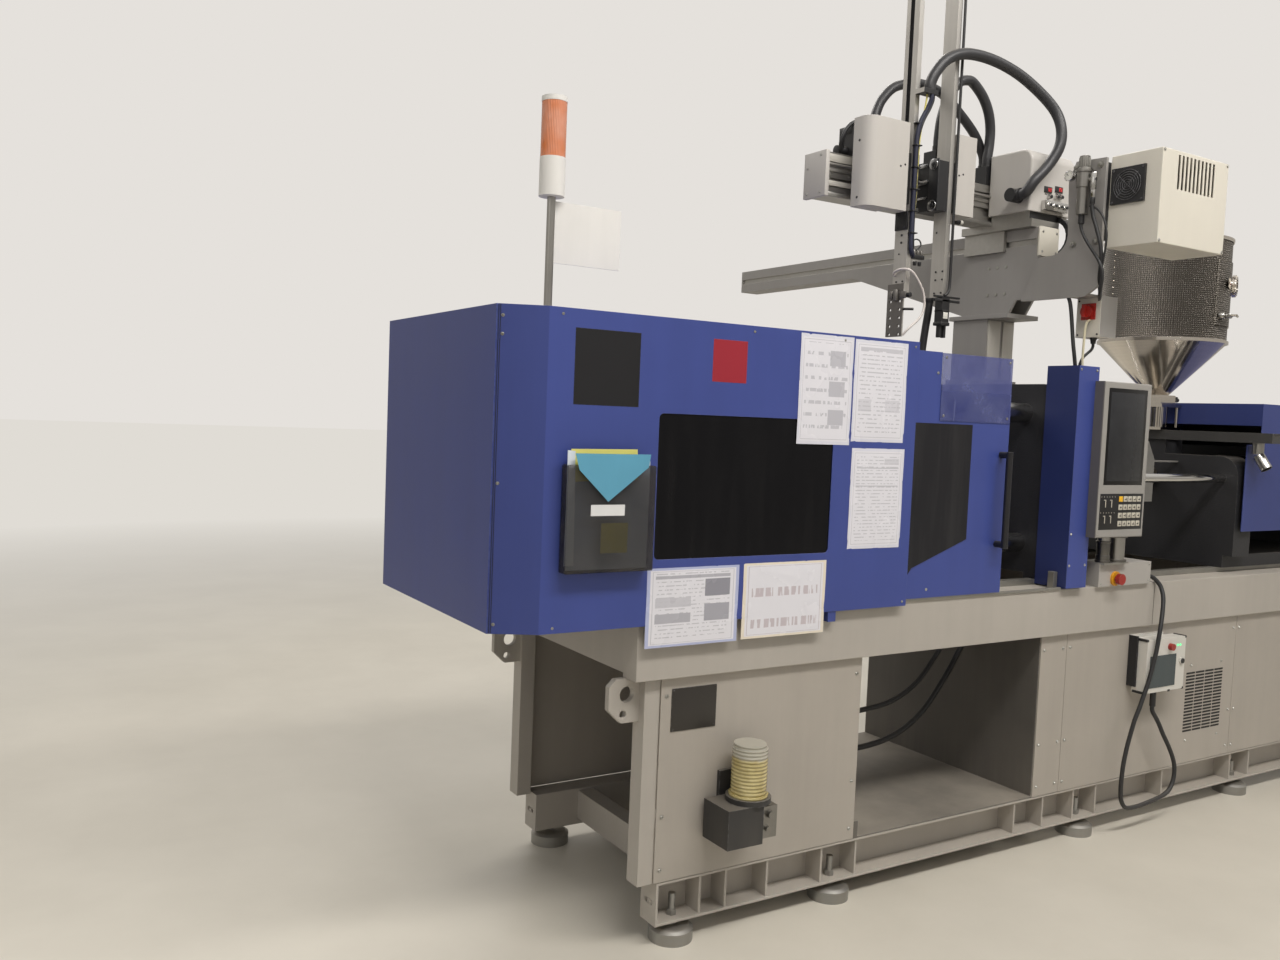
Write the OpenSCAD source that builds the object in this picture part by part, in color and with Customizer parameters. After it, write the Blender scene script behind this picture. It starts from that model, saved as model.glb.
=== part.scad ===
// Horizontal toggle-clamp injection moulding machine with a take-out robot.
// X runs along the machine from the clamp end to the injection end, the operator stands on the -Y side,
// +Z is up, z = 0 is the floor and y = 0, z = axis_h is the machine axis. Millimetres.

/* [Machine axis and tie bars] */
// Height of the machine axis above the floor
axis_h = 1300; // [1280:5:1320]
// Distance between tie bar centres, both ways
bar_pitch = 470; // [450:5:490]
// Tie bar diameter
bar_d = 70; // [60:2:76]
// Position of the fixed platen's mould face
mould_face_x = -150; // [-160:5:-140]
// Fixed platen thickness
fixed_platen_t = 180; // [160:5:190]
// Platen width and height
platen_w = 660; // [640:5:680]
// Locating ring bore diameter
ring_d = 100; // [90:5:110]
// Depth of the locating ring bore
ring_depth = 25; // [15:5:30]
// Daylight between the platens with the mould open
daylight = 760; // [740:5:780]
// Moving platen thickness
moving_platen_t = 160; // [140:5:170]
// Toggle support thickness
support_t = 140; // [120:5:150]

/* [Toggle] */
// Toggle link length between pins
link_l = 240; // [230:2:250]
// Toggle angle from the machine axis with the mould open
open_angle = 73; // [70:1:74]
// Half distance between the upper and lower toggle pin rows
pin_row = 310; // [300:2:315]
// Toggle pin diameter
pin_d = 44; // [36:2:48]
// Width of the centre link
link_w = 90; // [80:2:92]
// Thickness of each fork plate
fork_t = 28; // [24:1:30]
// Length of the slot that the open pivot runs in
pivot_slot = 32; // [30:1:34]
// Clamp screw diameter
clamp_screw_d = 40; // [32:2:44]

/* [Bed] */
// Width over the bed beams
bed_w = 876; // [860:2:890]
// Height of the bed's top face
bed_top = 925; // [920:1:930]
// Depth of the bed beams
beam_h = 164; // [150:2:170]
// Plate thickness of the bed beams
beam_t = 12; // [8:1:14]
// Width of the bed beams' top flange
flange_w = 148; // [146:1:150]
// Left end of the bed
bed_left_x = -1884; // [-1900:2:-1880]
// Right end of the bed
bed_right_x = 2180; // [2160:5:2200]
// Width over the base channels
base_w = 836; // [830:2:840]
// Height of the base channels
channel_h = 125; // [110:5:130]
// Height of the channels' underside above the floor
foot_h = 60; // [55:1:65]
// Depth of the base channels
channel_d = 80; // [74:1:84]
// Sheet thickness of covers and panels
sheet_t = 3; // [2:0.5:4]
// Levelling foot diameter
foot_d = 127; // [110:1:130]
// Left edge of the open bay
bay_left_x = -1058; // [-1070:2:-1050]
// Right edge of the open bay
bay_right_x = -218; // [-225:1:-210]

/* [Clamp guarding] */
// Width over the clamp covers
cover_w = 920; // [914:2:930]
// Top of the clamp covers
cover_top = 1728; // [1720:2:1740]
// Underside of the clamp covers
cover_bottom = 916; // [914:1:924]
// Clamp end of the covers
cover_left_x = -2300; // [-2320:5:-2290]
// Right edge of the fixed clamp cover
cover_right_x = -928; // [-932:1:-924]
// Length of the cover's slanted corner along the machine
corner_l = 113; // [100:1:120]
// Width that the slanted corner takes off
corner_w = 57; // [50:1:60]
// Width of the safety door
door_l = 800; // [790:2:810]
// Right edge of the front safety door as it stands
door_right_x = -486; // [-490:1:-482]
// Top of the safety door's tall part
door_top = 1705; // [1700:1:1710]
// Thickness of the safety door
door_t = 20; // [16:1:22]

/* [Operator panel] */
// Operator panel width
panel_w = 268; // [260:1:275]
// Operator panel height
panel_h = 545; // [530:5:555]
// Underside of the operator panel
panel_bottom = 1109; // [1100:1:1120]
// Left edge of the operator panel
panel_x = -72; // [-80:1:-66]
// Operator panel depth
panel_t = 62; // [50:1:70]

/* [Injection unit] */
// Screw diameter
screw_d = 36; // [32:1:40]
// Barrel diameter
barrel_d = 100; // [90:2:104]
// Position of the feed opening and hopper
hopper_x = 1000; // [995:1:1005]
// Width of the injection cover
shroud_w = 840; // [830:2:850]
// Top of the injection cover
shroud_top = 1620; // [1610:2:1630]
// Underside of the injection cover
shroud_bottom = 1100; // [1090:2:1110]
// Diameter of the nozzle pull-in rods
pull_rod_d = 36; // [30:2:40]

/* [Hopper] */
// Hopper drum diameter
drum_d = 500; // [480:5:510]
// Height of the hopper drum
drum_h = 430; // [400:5:440]
// Height of the hopper cone
cone_h = 220; // [210:5:230]
// Wall thickness of the hopper
hopper_t = 2; // [1.5:0.5:3]

/* [Robot] */
// Height of the pedestal's top plate above the floor
pedestal_top = 1900; // [1890:5:1910]
// Length of the traverse beam
traverse_l = 1760; // [1700:10:1800]
// Section of the traverse beam
traverse_s = 100; // [90:5:100]
// Length of the kick beam
kick_l = 1135; // [1110:5:1140]
// Section of the kick beam
kick_s = 142; // [136:2:144]
// Length of the main arm
main_arm_l = 1050; // [1000:10:1060]
// Length of the sub arm
sub_arm_l = 1060; // [1000:10:1070]

/* [Hidden] */
$fn = 48;
// Clearance between parts of different moving groups
gap = 0.3;
// Radial running clearance of a shaft in its bore
run = 0.05;

half_pitch = bar_pitch/2;
half_platen = platen_w/2;
platen_back_x = mould_face_x + fixed_platen_t;
moving_face_x = mould_face_x - daylight;
moving_back_x = moving_face_x - moving_platen_t;
tip_x = moving_back_x - 70;
rear_pin_x = tip_x - 2*link_l*cos(open_angle);
support_face_x = rear_pin_x - 70;
support_back_x = support_face_x - support_t;
elbow_x = rear_pin_x + link_l*cos(open_angle);
elbow_drop = link_l*sin(open_angle);
nut_t = 50;
nut_d = 110;
platen_low = axis_h - half_platen - 10;
platen_high = axis_h + half_platen + 10;
rail_h = 20;

half_bed = bed_w/2;
half_base = base_w/2;
half_cover = cover_w/2;
beam_low = bed_top - beam_h;
channel_top = foot_h + channel_h;
channel_left_x = bed_left_x + 106;
post_xs = [bed_left_x + 44, bay_left_x - 60, bay_right_x, bay_right_x + 700, 1230, bed_right_x - 90];
post_l = 50;
foot_xs = [-1700, -1114, 80, 1100, 2060];
gusset_xs = [-1630, -1540, -1390, -1180, -1040, -300, -150, 20, 150, 560, 1030, 1170, 1600, 1990, 2110];
panel_seams = [-80, 993, 1560, 2170];

door_left_x = door_right_x - door_l;
door_y = -half_cover + sheet_t + 9;
door_low = bed_top + 8 + gap;
door_line = 1588;

shroud_left_x = hopper_x + 73;
shroud_right_x = 2150;
half_shroud = shroud_w/2;
base_plate_low = bed_top + rail_h + gap;
base_plate_top = base_plate_low + 50;
housing_front_x = hopper_x - 40;
housing_back_x = hopper_x + 80;
pusher_front_x = 1300;
pusher_back_x = 1400;
drive_plate_x = 1880;
hopper_rail_low = 1460;
hopper_rail_top = 1500;
throat_low = hopper_rail_top + gap;
throat_top = 1650;
cone_top = throat_top + cone_h;
drum_top = cone_top + drum_h;

column_x = [mould_face_x - 5, mould_face_x + 145];
column_y = [-43, 122];
traverse_low = 2100;
traverse_top = traverse_low + traverse_s;
traverse_y = -250;
kick_low = traverse_top + 28;
kick_top = kick_low + kick_s;
kick_right_x = 150;
kick_y = [-50, 40];
carriage_x = [-185, -35];
carriage_y = [-240, 80];
hood_x = [-200, 30];
hood_y = [-240, -52];
hood_z = [2255, 2475];
plate_t = 12;
flange_t = 16;
switch_x = -90;
switch_y = [-475, -380];
switch_z = 1893;
controller_x = [-139, 232];
controller_y = [-700, -515];
controller_z = [2095, 2400];
main_arm_x = -686;
sub_arm_x = -505;
arm_t = 20;
arm_s = 60;
arm_low = 1925;
arm_front_y = -150;
main_slider_x = [-810, -658];
sub_slider_x = [-565, -480];
pendant_x = [290, 530];
pendant_y = [-490, -435];
pendant_z = [520, 720];

// Route of the hand pendant's cord, from the panel box in a hanging loop to the pendant
PENDANT_CORD = [
    [346, -430, 950], [356, -430, 950], [374, -438, 943], [387, -450, 927], [392, -462, 907], [385, -478, 870],
    [363, -492, 812], [338, -503, 752], [323, -505, 685], [306, -505, 626], [288, -504, 569], [269, -502, 522],
    [250, -500, 475], [233, -497, 436], [222, -494, 396], [207, -491, 339], [195, -489, 278], [190, -488, 221],
    [190, -488, 172], [195, -489, 135], [216, -490, 108], [250, -490, 99], [311, -490, 99], [387, -489, 105],
    [450, -487, 112], [495, -485, 127], [522, -483, 160], [529, -481, 205], [518, -479, 245], [484, -477, 300],
    [450, -475, 345], [419, -474, 390], [398, -472, 418], [382, -471, 436], [376, -470, 450], [376, -470, 462]
];
// Routes of the robot's three thick conduits, from the carriage to the arms
CONDUIT_MAIN = [
    [-230, -224, 2308], [-230, -236, 2308], [-228, -252, 2319], [-213, -266, 2352], [-155, -276, 2414], [-120, -288, 2479],
    [-110, -283, 2544], [-122, -262, 2608], [-178, -236, 2668], [-269, -211, 2722], [-382, -192, 2752],
    [-500, -184, 2750], [-585, -181, 2716], [-632, -175, 2664], [-650, -170, 2622], [-650, -170, 2601]
];
CONDUIT_MOTOR = [
    [-735, 0, 2485], [-735, 0, 2510], [-726, 2, 2552], [-696, 4, 2607], [-633, 8, 2660], [-518, 12, 2693],
    [-401, 14, 2680], [-308, 14, 2629], [-222, 12, 2564], [-176, 10, 2500], [-168, 10, 2470], [-168, 10, 2455]
];
CONDUIT_SUB = [
    [-440, -20, 2480], [-440, -20, 2510], [-434, -22, 2575], [-418, -25, 2634], [-397, -28, 2677],
    [-360, -30, 2718], [-320, -30, 2733], [-288, -30, 2728], [-236, -30, 2690], [-200, -29, 2640], [-184, -28, 2584],
    [-184, -28, 2528], [-190, -28, 2480], [-190, -28, 2455]
];

// Box between two corners
module block(x, y, z) {
    translate([x[0], y[0], z[0]]) cube([x[1] - x[0], y[1] - y[0], z[1] - z[0]]);
}

// Round bars along each axis
module rod_x(x, y, z, r) {
    translate([x[0], y, z]) rotate([0, 90, 0]) cylinder(r = r, h = x[1] - x[0]);
}
module rod_y(x, y, z, r) {
    translate([x, y[1], z]) rotate([90, 0, 0]) cylinder(r = r, h = y[1] - y[0]);
}
module rod_z(x, y, z, r) {
    translate([x, y, z[0]]) cylinder(r = r, h = z[1] - z[0]);
}

// Flat outline in x and z, t thick, from y towards +Y
module facing_front(y, t) {
    translate([0, y + t, 0]) rotate([90, 0, 0]) linear_extrude(t) children();
}

// Flat outline in y and z, t thick, from x towards +X
module facing_end(x, t) {
    translate([x, 0, 0]) rotate([90, 0, 90]) linear_extrude(t) children();
}

// Rectangle with round corners between two corners
module soft_rect(x, y, r) {
    translate([x[0] + r, y[0]]) square([x[1] - x[0] - 2*r, y[1] - y[0]]);
    translate([x[0], y[0] + r]) square([x[1] - x[0], y[1] - y[0] - 2*r]);
    for (cx = [x[0] + r, x[1] - r], cy = [y[0] + r, y[1] - r]) translate([cx, cy]) circle(r);
}

// A shape on the front and its mirror image on the rear
module both_sides() {
    children();
    mirror([0, 1, 0]) children();
}

// Swept round tube along hand-chosen points
function unit(v) = v / norm(v);
function tangent(p, i) = unit(p[min(i + 1, len(p) - 1)] - p[max(i - 1, 0)]);
function side(t) = unit(cross(t, abs(t.z) < 0.9 ? [0, 0, 1] : [0, 1, 0]));
function carried(p, i, s) = unit(s - tangent(p, i) * (s * tangent(p, i)));
function sides(p, i = 0, s = undef) =
    i >= len(p) ? [] :
    let (now = i == 0 ? side(tangent(p, 0)) : carried(p, i, s)) concat([now], sides(p, i + 1, now));
module swept(p, r, n) {
    s = sides(p);
    rings = [for (i = [0:len(p) - 1]) let (t = tangent(p, i), u = s[i], v = cross(t, u))
        for (k = [0:n - 1]) p[i] + r*(cos(360*k/n)*u + sin(360*k/n)*v)];
    walls = [for (i = [0:len(p) - 2], k = [0:n - 1])
        [i*n + k, i*n + (k + 1) % n, (i + 1)*n + (k + 1) % n, (i + 1)*n + k]];
    ends = [[for (k = [n - 1:-1:0]) k], [for (k = [0:n - 1]) (len(p) - 1)*n + k]];
    polyhedron(rings, concat([for (w = walls) [w[3], w[2], w[1], w[0]]], [for (e = ends) [for (k = [len(e) - 1:-1:0]) e[k]]]), convexity = 8);
}

// Bed: two folded beams joined by cross plates
module bed_frame() {
    color([0.66, 0.64, 0.61]) {
        both_sides() {
            block([bed_left_x, bed_right_x], [-half_bed, -half_bed + beam_t], [beam_low, bed_top]);
            block([bed_left_x, bed_right_x], [-half_bed + beam_t, -half_bed + flange_w],
                  [bed_top - beam_t, bed_top]);
            block([bed_left_x, bed_right_x], [-half_bed + beam_t, -half_bed + 70], [beam_low, beam_low + beam_t]);
        }
        for (x = concat([bed_left_x], [for (p = post_xs) p + 19], [bed_right_x - beam_t]))
            block([x, x + beam_t], [-half_bed + beam_t, half_bed - beam_t], [beam_low + beam_t, bed_top - beam_t]);
    }
}

// Base: outward channels with gussets and end plates, posts and lifting lugs
module base_frame() {
    color([0.66, 0.64, 0.61]) {
        both_sides() {
            difference() {
                union() {
                    block([channel_left_x, bed_right_x], [-half_base, -half_base + channel_d], [foot_h, foot_h + 8]);
                    block([channel_left_x, bed_right_x], [-half_base, -half_base + channel_d],
                          [channel_top - 8, channel_top]);
                    block([channel_left_x, bed_right_x], [-half_base + channel_d - 8, -half_base + channel_d],
                          [foot_h + 8, channel_top - 8]);
                    for (x = gusset_xs)
                        block([x, x + 8], [-half_base + 6, -half_base + channel_d - 8], [foot_h + 8, channel_top - 8]);
                    for (x = [channel_left_x, bed_right_x - 8])
                        block([x, x + 8], [-half_base, -half_base + channel_d - 8], [foot_h + 8, channel_top - 8]);
                }
                for (x = foot_xs) rod_z(x, -half_base + 38, [foot_h - 1, foot_h + 9], 11);
                for (y = [24, 52]) rod_x([channel_left_x - 1, channel_left_x + 9], -half_base + y, foot_h + 62, 7);
            }
            for (x = post_xs)
                block([x, x + post_l], [-half_base + sheet_t, -half_base + 60], [channel_top, beam_low]);
            lifting_lug();
        }
        for (x = [channel_left_x + 160, bay_left_x - 90, bay_right_x + 60, 1230, bed_right_x - 160])
            block([x, x + 60], [-half_base + channel_d, half_base - channel_d], [foot_h + 20, channel_top - 8]);
    }
}

// Lug plate under the end of a beam, with a lifting hole and a lashing hole
module lifting_lug() {
    y = -half_base + 30;
    facing_front(y, 20) difference() {
        polygon([[bed_left_x + 4, beam_low], [bed_left_x + 44, beam_low], [bed_left_x + 44, beam_low - 122],
                 [bed_left_x - 12, beam_low - 122], [bed_left_x - 52, beam_low - 84], [bed_left_x - 52, beam_low - 20],
                 [bed_left_x - 32, beam_low]]);
        translate([bed_left_x + 4, beam_low - 44]) circle(21.5);
        translate([bed_left_x - 6, beam_low - 98]) circle(10.5);
    }
}

// Levelling feet: pad, stud and nuts
module levelling_feet() {
    color([0.55, 0.55, 0.56]) both_sides() for (x = foot_xs) translate([x, -half_base + 38, 0]) {
        cylinder(d = foot_d, h = foot_h - 26);
        translate([0, 0, foot_h - 26]) cylinder(d1 = foot_d, d2 = foot_d - 30, h = 10);
        translate([0, 0, foot_h - 16]) cylinder(d = 30, h = 16, $fn = 6);
        translate([0, 0, foot_h]) cylinder(r = 10, h = 70);
        translate([0, 0, foot_h + 8]) cylinder(d = 30, h = 16, $fn = 6);
    }
}

// Open bay under the mould: floor plate with folded lip, and side walls
module bay_liner() {
    color([0.55, 0.53, 0.50]) {
        block([bay_left_x, bay_right_x], [-half_base, half_base], [channel_top, channel_top + 5]);
        block([bay_left_x, bay_left_x + 20], [-half_base, -half_base + 3], [channel_top + 5, channel_top + 55]);
        block([bay_right_x - 3, bay_right_x], [-half_base + sheet_t, half_base - sheet_t],
              [channel_top + 5, beam_low]);
        block([bay_left_x, bay_left_x + 3], [-half_base + 3, 40], [channel_top + 5, beam_low]);
        block([bay_left_x, bay_left_x + 3], [40, half_base - 3], [channel_top + 5, beam_low - 220]);
    }
}

// Flat service panels around the base, with the louvred panels of the electrical cabinet
module service_panels() {
    color([0.68, 0.66, 0.63]) both_sides() {
        service_panel(bed_left_x + 94, bay_left_x);
        service_panel(bay_right_x, panel_seams[0]);
        difference() {
            service_panel(panel_seams[0] + 2, panel_seams[1]);
            louvres(662, 309);
        }
        service_panel(panel_seams[1] + 2, panel_seams[2]);
        service_panel(panel_seams[2] + 2, panel_seams[3]);
    }
}
module service_panel(x0, x1) {
    block([x0, x1], [-half_base - 2, -half_base + sheet_t], [channel_top + 2, beam_low]);
}
module louvres(x, z) {
    for (col = [0:3], row = [0:18])
        block([x + 4 + 64*col, x + 62 + 64*col], [-half_base - 3, -half_base + sheet_t + 1],
              [z + 4 + 12.8*row, z + 9 + 12.8*row]);
}

// Plan of the slanted clamp cover corner, along the outside
function cover_path(w) = [[cover_left_x, -w + corner_w], [cover_left_x + corner_l, -w], [cover_right_x, -w]];
module cover_wall() {
    outer = cover_path(half_cover);
    inner = [[cover_right_x, -half_cover + sheet_t], [cover_left_x + corner_l + 1, -half_cover + sheet_t],
             [cover_left_x, -half_cover + corner_w + sheet_t + 1]];
    translate([0, 0, cover_bottom]) linear_extrude(cover_top - cover_bottom) polygon(concat(outer, inner));
}

window_x = [-1870, -1244];
window_z = [1080, 1490];
module front_cover() {
    color([0.24, 0.31, 0.59]) {
        difference() {
            cover_wall();
            facing_front(-half_cover - 1, sheet_t + 2)
                soft_rect([window_x[0] + 12, window_x[1] - 12], [window_z[0] + 12, window_z[1] - 12], 14);
        }
        block([cover_left_x + corner_l + 4, cover_right_x], [-half_cover + sheet_t, -half_cover + 25],
              [cover_top - sheet_t, cover_top]);
        cover_brackets();
    }
}

// Rear clamp cover, with the top panel that closes the clamp
module rear_cover() {
    color([0.22, 0.29, 0.55]) {
        mirror([0, 1, 0]) cover_wall();
        translate([0, 0, cover_top - sheet_t]) linear_extrude(sheet_t) polygon([
            [cover_left_x + 3, -half_cover + corner_w + 8], [cover_left_x + corner_l + 4, -half_cover + 25],
            [cover_right_x, -half_cover + 25], [cover_right_x, half_cover - sheet_t],
            [cover_left_x + corner_l + 1, half_cover - sheet_t],
            [cover_left_x + 3, half_cover - corner_w - 8]]);
        mirror([0, 1, 0]) cover_brackets();
    }
}
// Brackets that hold a long cover to the side of the bed
module cover_brackets() {
    for (x = [-1790, -1240])
        block([x, x + 30], [-half_cover + sheet_t, -half_bed], [bed_top - 40, bed_top]);
}

// Flat cover across the clamp end, with folded returns and brackets to the bed
module end_cover() {
    y = half_cover - corner_w;
    color([0.20, 0.26, 0.50]) {
        block([cover_left_x - 3, cover_left_x], [-y, y], [cover_bottom, cover_top]);
        for (s = [-1, 1])
            block([cover_left_x, bed_left_x + 30], [s*320 - 20, s*320 + 20], [bed_top, bed_top + 4]);
    }
}

module cover_window() {
    color([0.03, 0.03, 0.05])
        facing_front(-half_cover + sheet_t, 5) soft_rect(window_x, window_z, 20);
}

// Blue columns in front of and behind the fixed platen
column_cover_x = [mould_face_x - 12, mould_face_x + 97];
module platen_covers() {
    color([0.24, 0.31, 0.59]) both_sides() {
        block(column_cover_x, [-half_cover, -half_cover + sheet_t], [bed_top + 5, 1703]);
        for (x = [column_cover_x[0], column_cover_x[1] - sheet_t])
            block([x, x + sheet_t], [-half_cover + sheet_t, -half_platen], [bed_top + 5, 1703]);
        block([column_cover_x[0] + sheet_t, column_cover_x[1] - sheet_t], [-half_cover + sheet_t, -half_platen - 20],
              [1700, 1703]);
    }
}

// Rails for the doors, the moving platen and the injection unit
module guide_rails() {
    color([0.62, 0.62, 0.60]) both_sides() {
        block([bed_left_x + 180, column_cover_x[0] - 3], [door_y + 4, door_y + 16], [bed_top, bed_top + 8]);
        block([support_back_x - 40, mould_face_x - 10], [-half_platen, -half_platen + 34], [bed_top, bed_top + rail_h]);
        block([420, bed_right_x - 30], [-half_platen - 10, -half_platen + 24], [bed_top, bed_top + rail_h]);
    }
    // Door stop
    color([0.35, 0.35, 0.36]) block([column_cover_x[0] - 3 - 20, column_cover_x[0] - 3], [door_y + 22, door_y + 46],
          [bed_top, bed_top + 60]);
}

// Outline of a safety door: tall behind the cover, lower towards the mould
module door_outline(x0, x1) {
    polygon([[x0, door_low], [x1, door_low], [x1, door_line], [x0 + 472, door_line], [x0 + 472, door_top],
             [x0, door_top]]);
}
module door_window_outline(x0, inset) {
    polygon([[x0 + 300 + inset, 1030 - 150 + inset + 40], [x0 + 384, 1030 + inset], [x0 + 623 - inset, 1115 + inset],
             [x0 + 623 - inset, 1483 - inset], [x0 + 300 + inset, 1483 - inset]]);
}
module door_leaf(x0, x1) {
    difference() {
        facing_front(door_y, door_t) door_outline(x0, x1);
        facing_front(door_y - 1, door_t + 2) intersection() {
            door_window_outline(x0, 10);
            translate([x0, 1010]) square([door_l, 500]);
        }
        // Hollow behind the outer skin
        block([x0 + 660, x1 - 20], [door_y + 3, door_y + door_t + 1], [door_low + 20, door_line - 20]);
        block([x0 + 20, x0 + 280], [door_y + 3, door_y + door_t + 1], [door_low + 20, door_top - 20]);
    }
    // Rollers on the rail
    for (x = [x0 + 60, x1 - 100])
        block([x, x + 60], [door_y + door_t - 4 + gap, door_y + door_t], [bed_top + 1, door_low]);
}
module door_pane(x0) {
    facing_front(door_y - 2, 2) intersection() {
        door_window_outline(x0, 0);
        translate([x0, 1000]) square([door_l, 500]);
    }
}
module door_handle(x) {
    rod_z(x, door_y - 36, [1085, 1400], 11);
    for (z = [1096, 1389]) rod_y(x, [door_y - 36, door_y], z, 11);
}
module front_door() {
    color([0.24, 0.31, 0.59]) door_leaf(door_left_x, door_right_x);
}
module front_door_window() {
    color([0.05, 0.05, 0.06]) door_pane(door_left_x);
}
module front_door_guard() {
    color([0.3, 0.36, 0.7, 0.6]) facing_front(door_y - 3, 3)
        polygon([[door_right_x - 328, 1492], [door_right_x - 4, 1492], [door_right_x - 4, 1703],
                 [door_right_x - 328, 1703]]);
}
module front_door_handle() {
    color([0.06, 0.06, 0.07]) door_handle(door_right_x - 34);
}

// Rear safety door, standing closed
rear_door_right_x = column_cover_x[0] - 4;
module rear_door() {
    mirror([0, 1, 0]) {
        color([0.24, 0.31, 0.59]) door_leaf(rear_door_right_x - door_l, rear_door_right_x);
        color([0.05, 0.05, 0.06]) {
            door_pane(rear_door_right_x - door_l);
            door_handle(rear_door_right_x - 34);
        }
    }
}

// Platen block with tie bar bores; r is the bore radius
module platen_block(x, t, r) {
    difference() {
        facing_end(x, t) soft_rect([-half_platen, half_platen], [platen_low, platen_high], 20);
        for (y = [-half_pitch, half_pitch], z = [-half_pitch, half_pitch])
            rod_x([x - 1, x + t + 1], y, axis_h + z, r);
    }
}

// Mould clamping screw holes on a platen face
mould_hole_r = 8.5;
mould_hole_pitch = 280;
module mould_holes(x) {
    for (y = [-mould_hole_pitch/2, mould_hole_pitch/2], z = [-mould_hole_pitch/2, mould_hole_pitch/2])
        rod_x(x, y, axis_h + z, mould_hole_r);
}

module fixed_platen() {
    color([0.30, 0.30, 0.32]) {
        difference() {
            platen_block(mould_face_x, fixed_platen_t, bar_d/2);
            rod_x([mould_face_x - 1, mould_face_x + ring_depth], 0, axis_h, ring_d/2);
            rod_x([mould_face_x, platen_back_x + 1], 0, axis_h, 40);
            mould_holes([mould_face_x - 1, mould_face_x + 40]);
        }
        both_sides() block([mould_face_x, platen_back_x], [-half_platen, -half_platen + 60], [bed_top, platen_low]);
    }
}

module tie_bars() {
    color([0.62, 0.63, 0.65]) for (y = [-half_pitch, half_pitch], z = [-half_pitch, half_pitch]) {
        rod_x([support_back_x - 80, platen_back_x + 70], y, axis_h + z, bar_d/2);
        for (x = [support_back_x - nut_t, platen_back_x]) difference() {
            rod_x([x, x + nut_t], y, axis_h + z, nut_d/2);
            rod_x([x - 1, x + nut_t + 1], y, axis_h + z, bar_d/2);
        }
    }
}

module moving_platen() {
    color([0.30, 0.30, 0.32]) difference() {
        union() {
            platen_block(moving_face_x - moving_platen_t, moving_platen_t, bar_d/2 + run);
            both_sides() block([moving_back_x, moving_face_x], [-half_platen + 1, -half_platen + 60],
                  [bed_top + rail_h + gap, platen_low]);
            for (z = [axis_h - pin_row, axis_h + pin_row]) platen_lug(z);
        }
        for (z = [axis_h - pin_row, axis_h + pin_row], x = [tip_x, tip_x + pivot_slot])
            rod_y(x, [-link_w/2 - 1, link_w/2 + 1], z, pin_d/2 + run);
        for (z = [axis_h - pin_row, axis_h + pin_row])
            block([tip_x, tip_x + pivot_slot], [-link_w/2 - 1, link_w/2 + 1],
                  [z - pin_d/2 - run, z + pin_d/2 + run]);
        for (y = [-60, 60]) rod_x([moving_back_x - 1, moving_face_x + 1], y, axis_h, 12.5);
        mould_holes([moving_face_x - 40, moving_face_x + 1]);
    }
}
module platen_lug(z) {
    block([tip_x, moving_back_x], [-link_w/2, link_w/2], [z - 38, z + 38]);
    rod_y(tip_x, [-link_w/2, link_w/2], z, 38);
}

// Toggle support with rear pins, guide rods, screw bearing and the clamp motor with its belt cover
module toggle_support() {
    color([0.30, 0.30, 0.32]) {
        difference() {
            platen_block(support_back_x, support_t, bar_d/2);
            rod_x([support_back_x - 1, support_face_x + 1], 0, axis_h, clamp_screw_d/2 + run);
        }
        both_sides() block([support_back_x, support_face_x], [-half_platen + 1, -half_platen + 60],
              [bed_top + rail_h, platen_low]);
        for (z = [axis_h - pin_row, axis_h + pin_row]) {
            for (s = [-1, 1]) translate([0, s*(link_w/2 + 1.5 + fork_t/2), 0]) {
                block([support_face_x, rear_pin_x], [-fork_t/2, fork_t/2], [z - 42, z + 42]);
                rod_y(rear_pin_x, [-fork_t/2, fork_t/2], z, 42);
            }
            rod_y(rear_pin_x, [-link_w/2 - 1.5, link_w/2 + 1.5], z, pin_d/2);
        }
        for (y = [-120, 120]) rod_x([support_face_x, tip_x - 15], y, axis_h, 15);
    }
    color([0.10, 0.10, 0.11]) {
        block([support_back_x - 320, support_back_x - 60], [-90, 90], [axis_h + 110, axis_h + 290]);
        block([support_back_x - 60, support_back_x - 50], [-90, 90], [axis_h + 60, axis_h + 290]);
        for (z = [axis_h + 62, axis_h + 272])
            block([support_back_x - 50, support_back_x], [-90, 90], [z, z + 18]);
    }
}

// Centre toggle link between its two bores, lying down from the rear pin by the opening angle
module rear_link(dir) {
    color([0.42, 0.42, 0.44]) translate([rear_pin_x, 0, axis_h + dir*pin_row]) rotate([0, dir*open_angle, 0])
        difference() {
            union() {
                block([0, link_l], [-link_w/2, link_w/2], [-34, 34]);
                for (x = [0, link_l]) rod_y(x, [-link_w/2, link_w/2], 0, 40);
            }
            for (x = [0, link_l]) rod_y(x, [-link_w/2 - 1, link_w/2 + 1], 0, pin_d/2 + run);
        }
}
module rear_link_upper() { rear_link(1); }
module rear_link_lower() { rear_link(-1); }

// Fork link: two side plates joined by the elbow pin and the platen pin
module front_link(dir) {
    color([0.46, 0.46, 0.48]) translate([elbow_x, 0, axis_h + dir*(pin_row - elbow_drop)])
        rotate([0, -dir*open_angle, 0]) {
            for (s = [-1, 1]) translate([0, s*(link_w/2 + 1.5 + fork_t/2), 0]) {
                block([0, link_l], [-fork_t/2, fork_t/2], [-30, 30]);
                for (x = [0, link_l]) rod_y(x, [-fork_t/2, fork_t/2], 0, 34);
            }
            for (x = [0, link_l]) rod_y(x, [-link_w/2 - 1.5, link_w/2 + 1.5], 0, pin_d/2);
        }
}
module front_link_upper() { front_link(1); }
module front_link_lower() { front_link(-1); }

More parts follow.
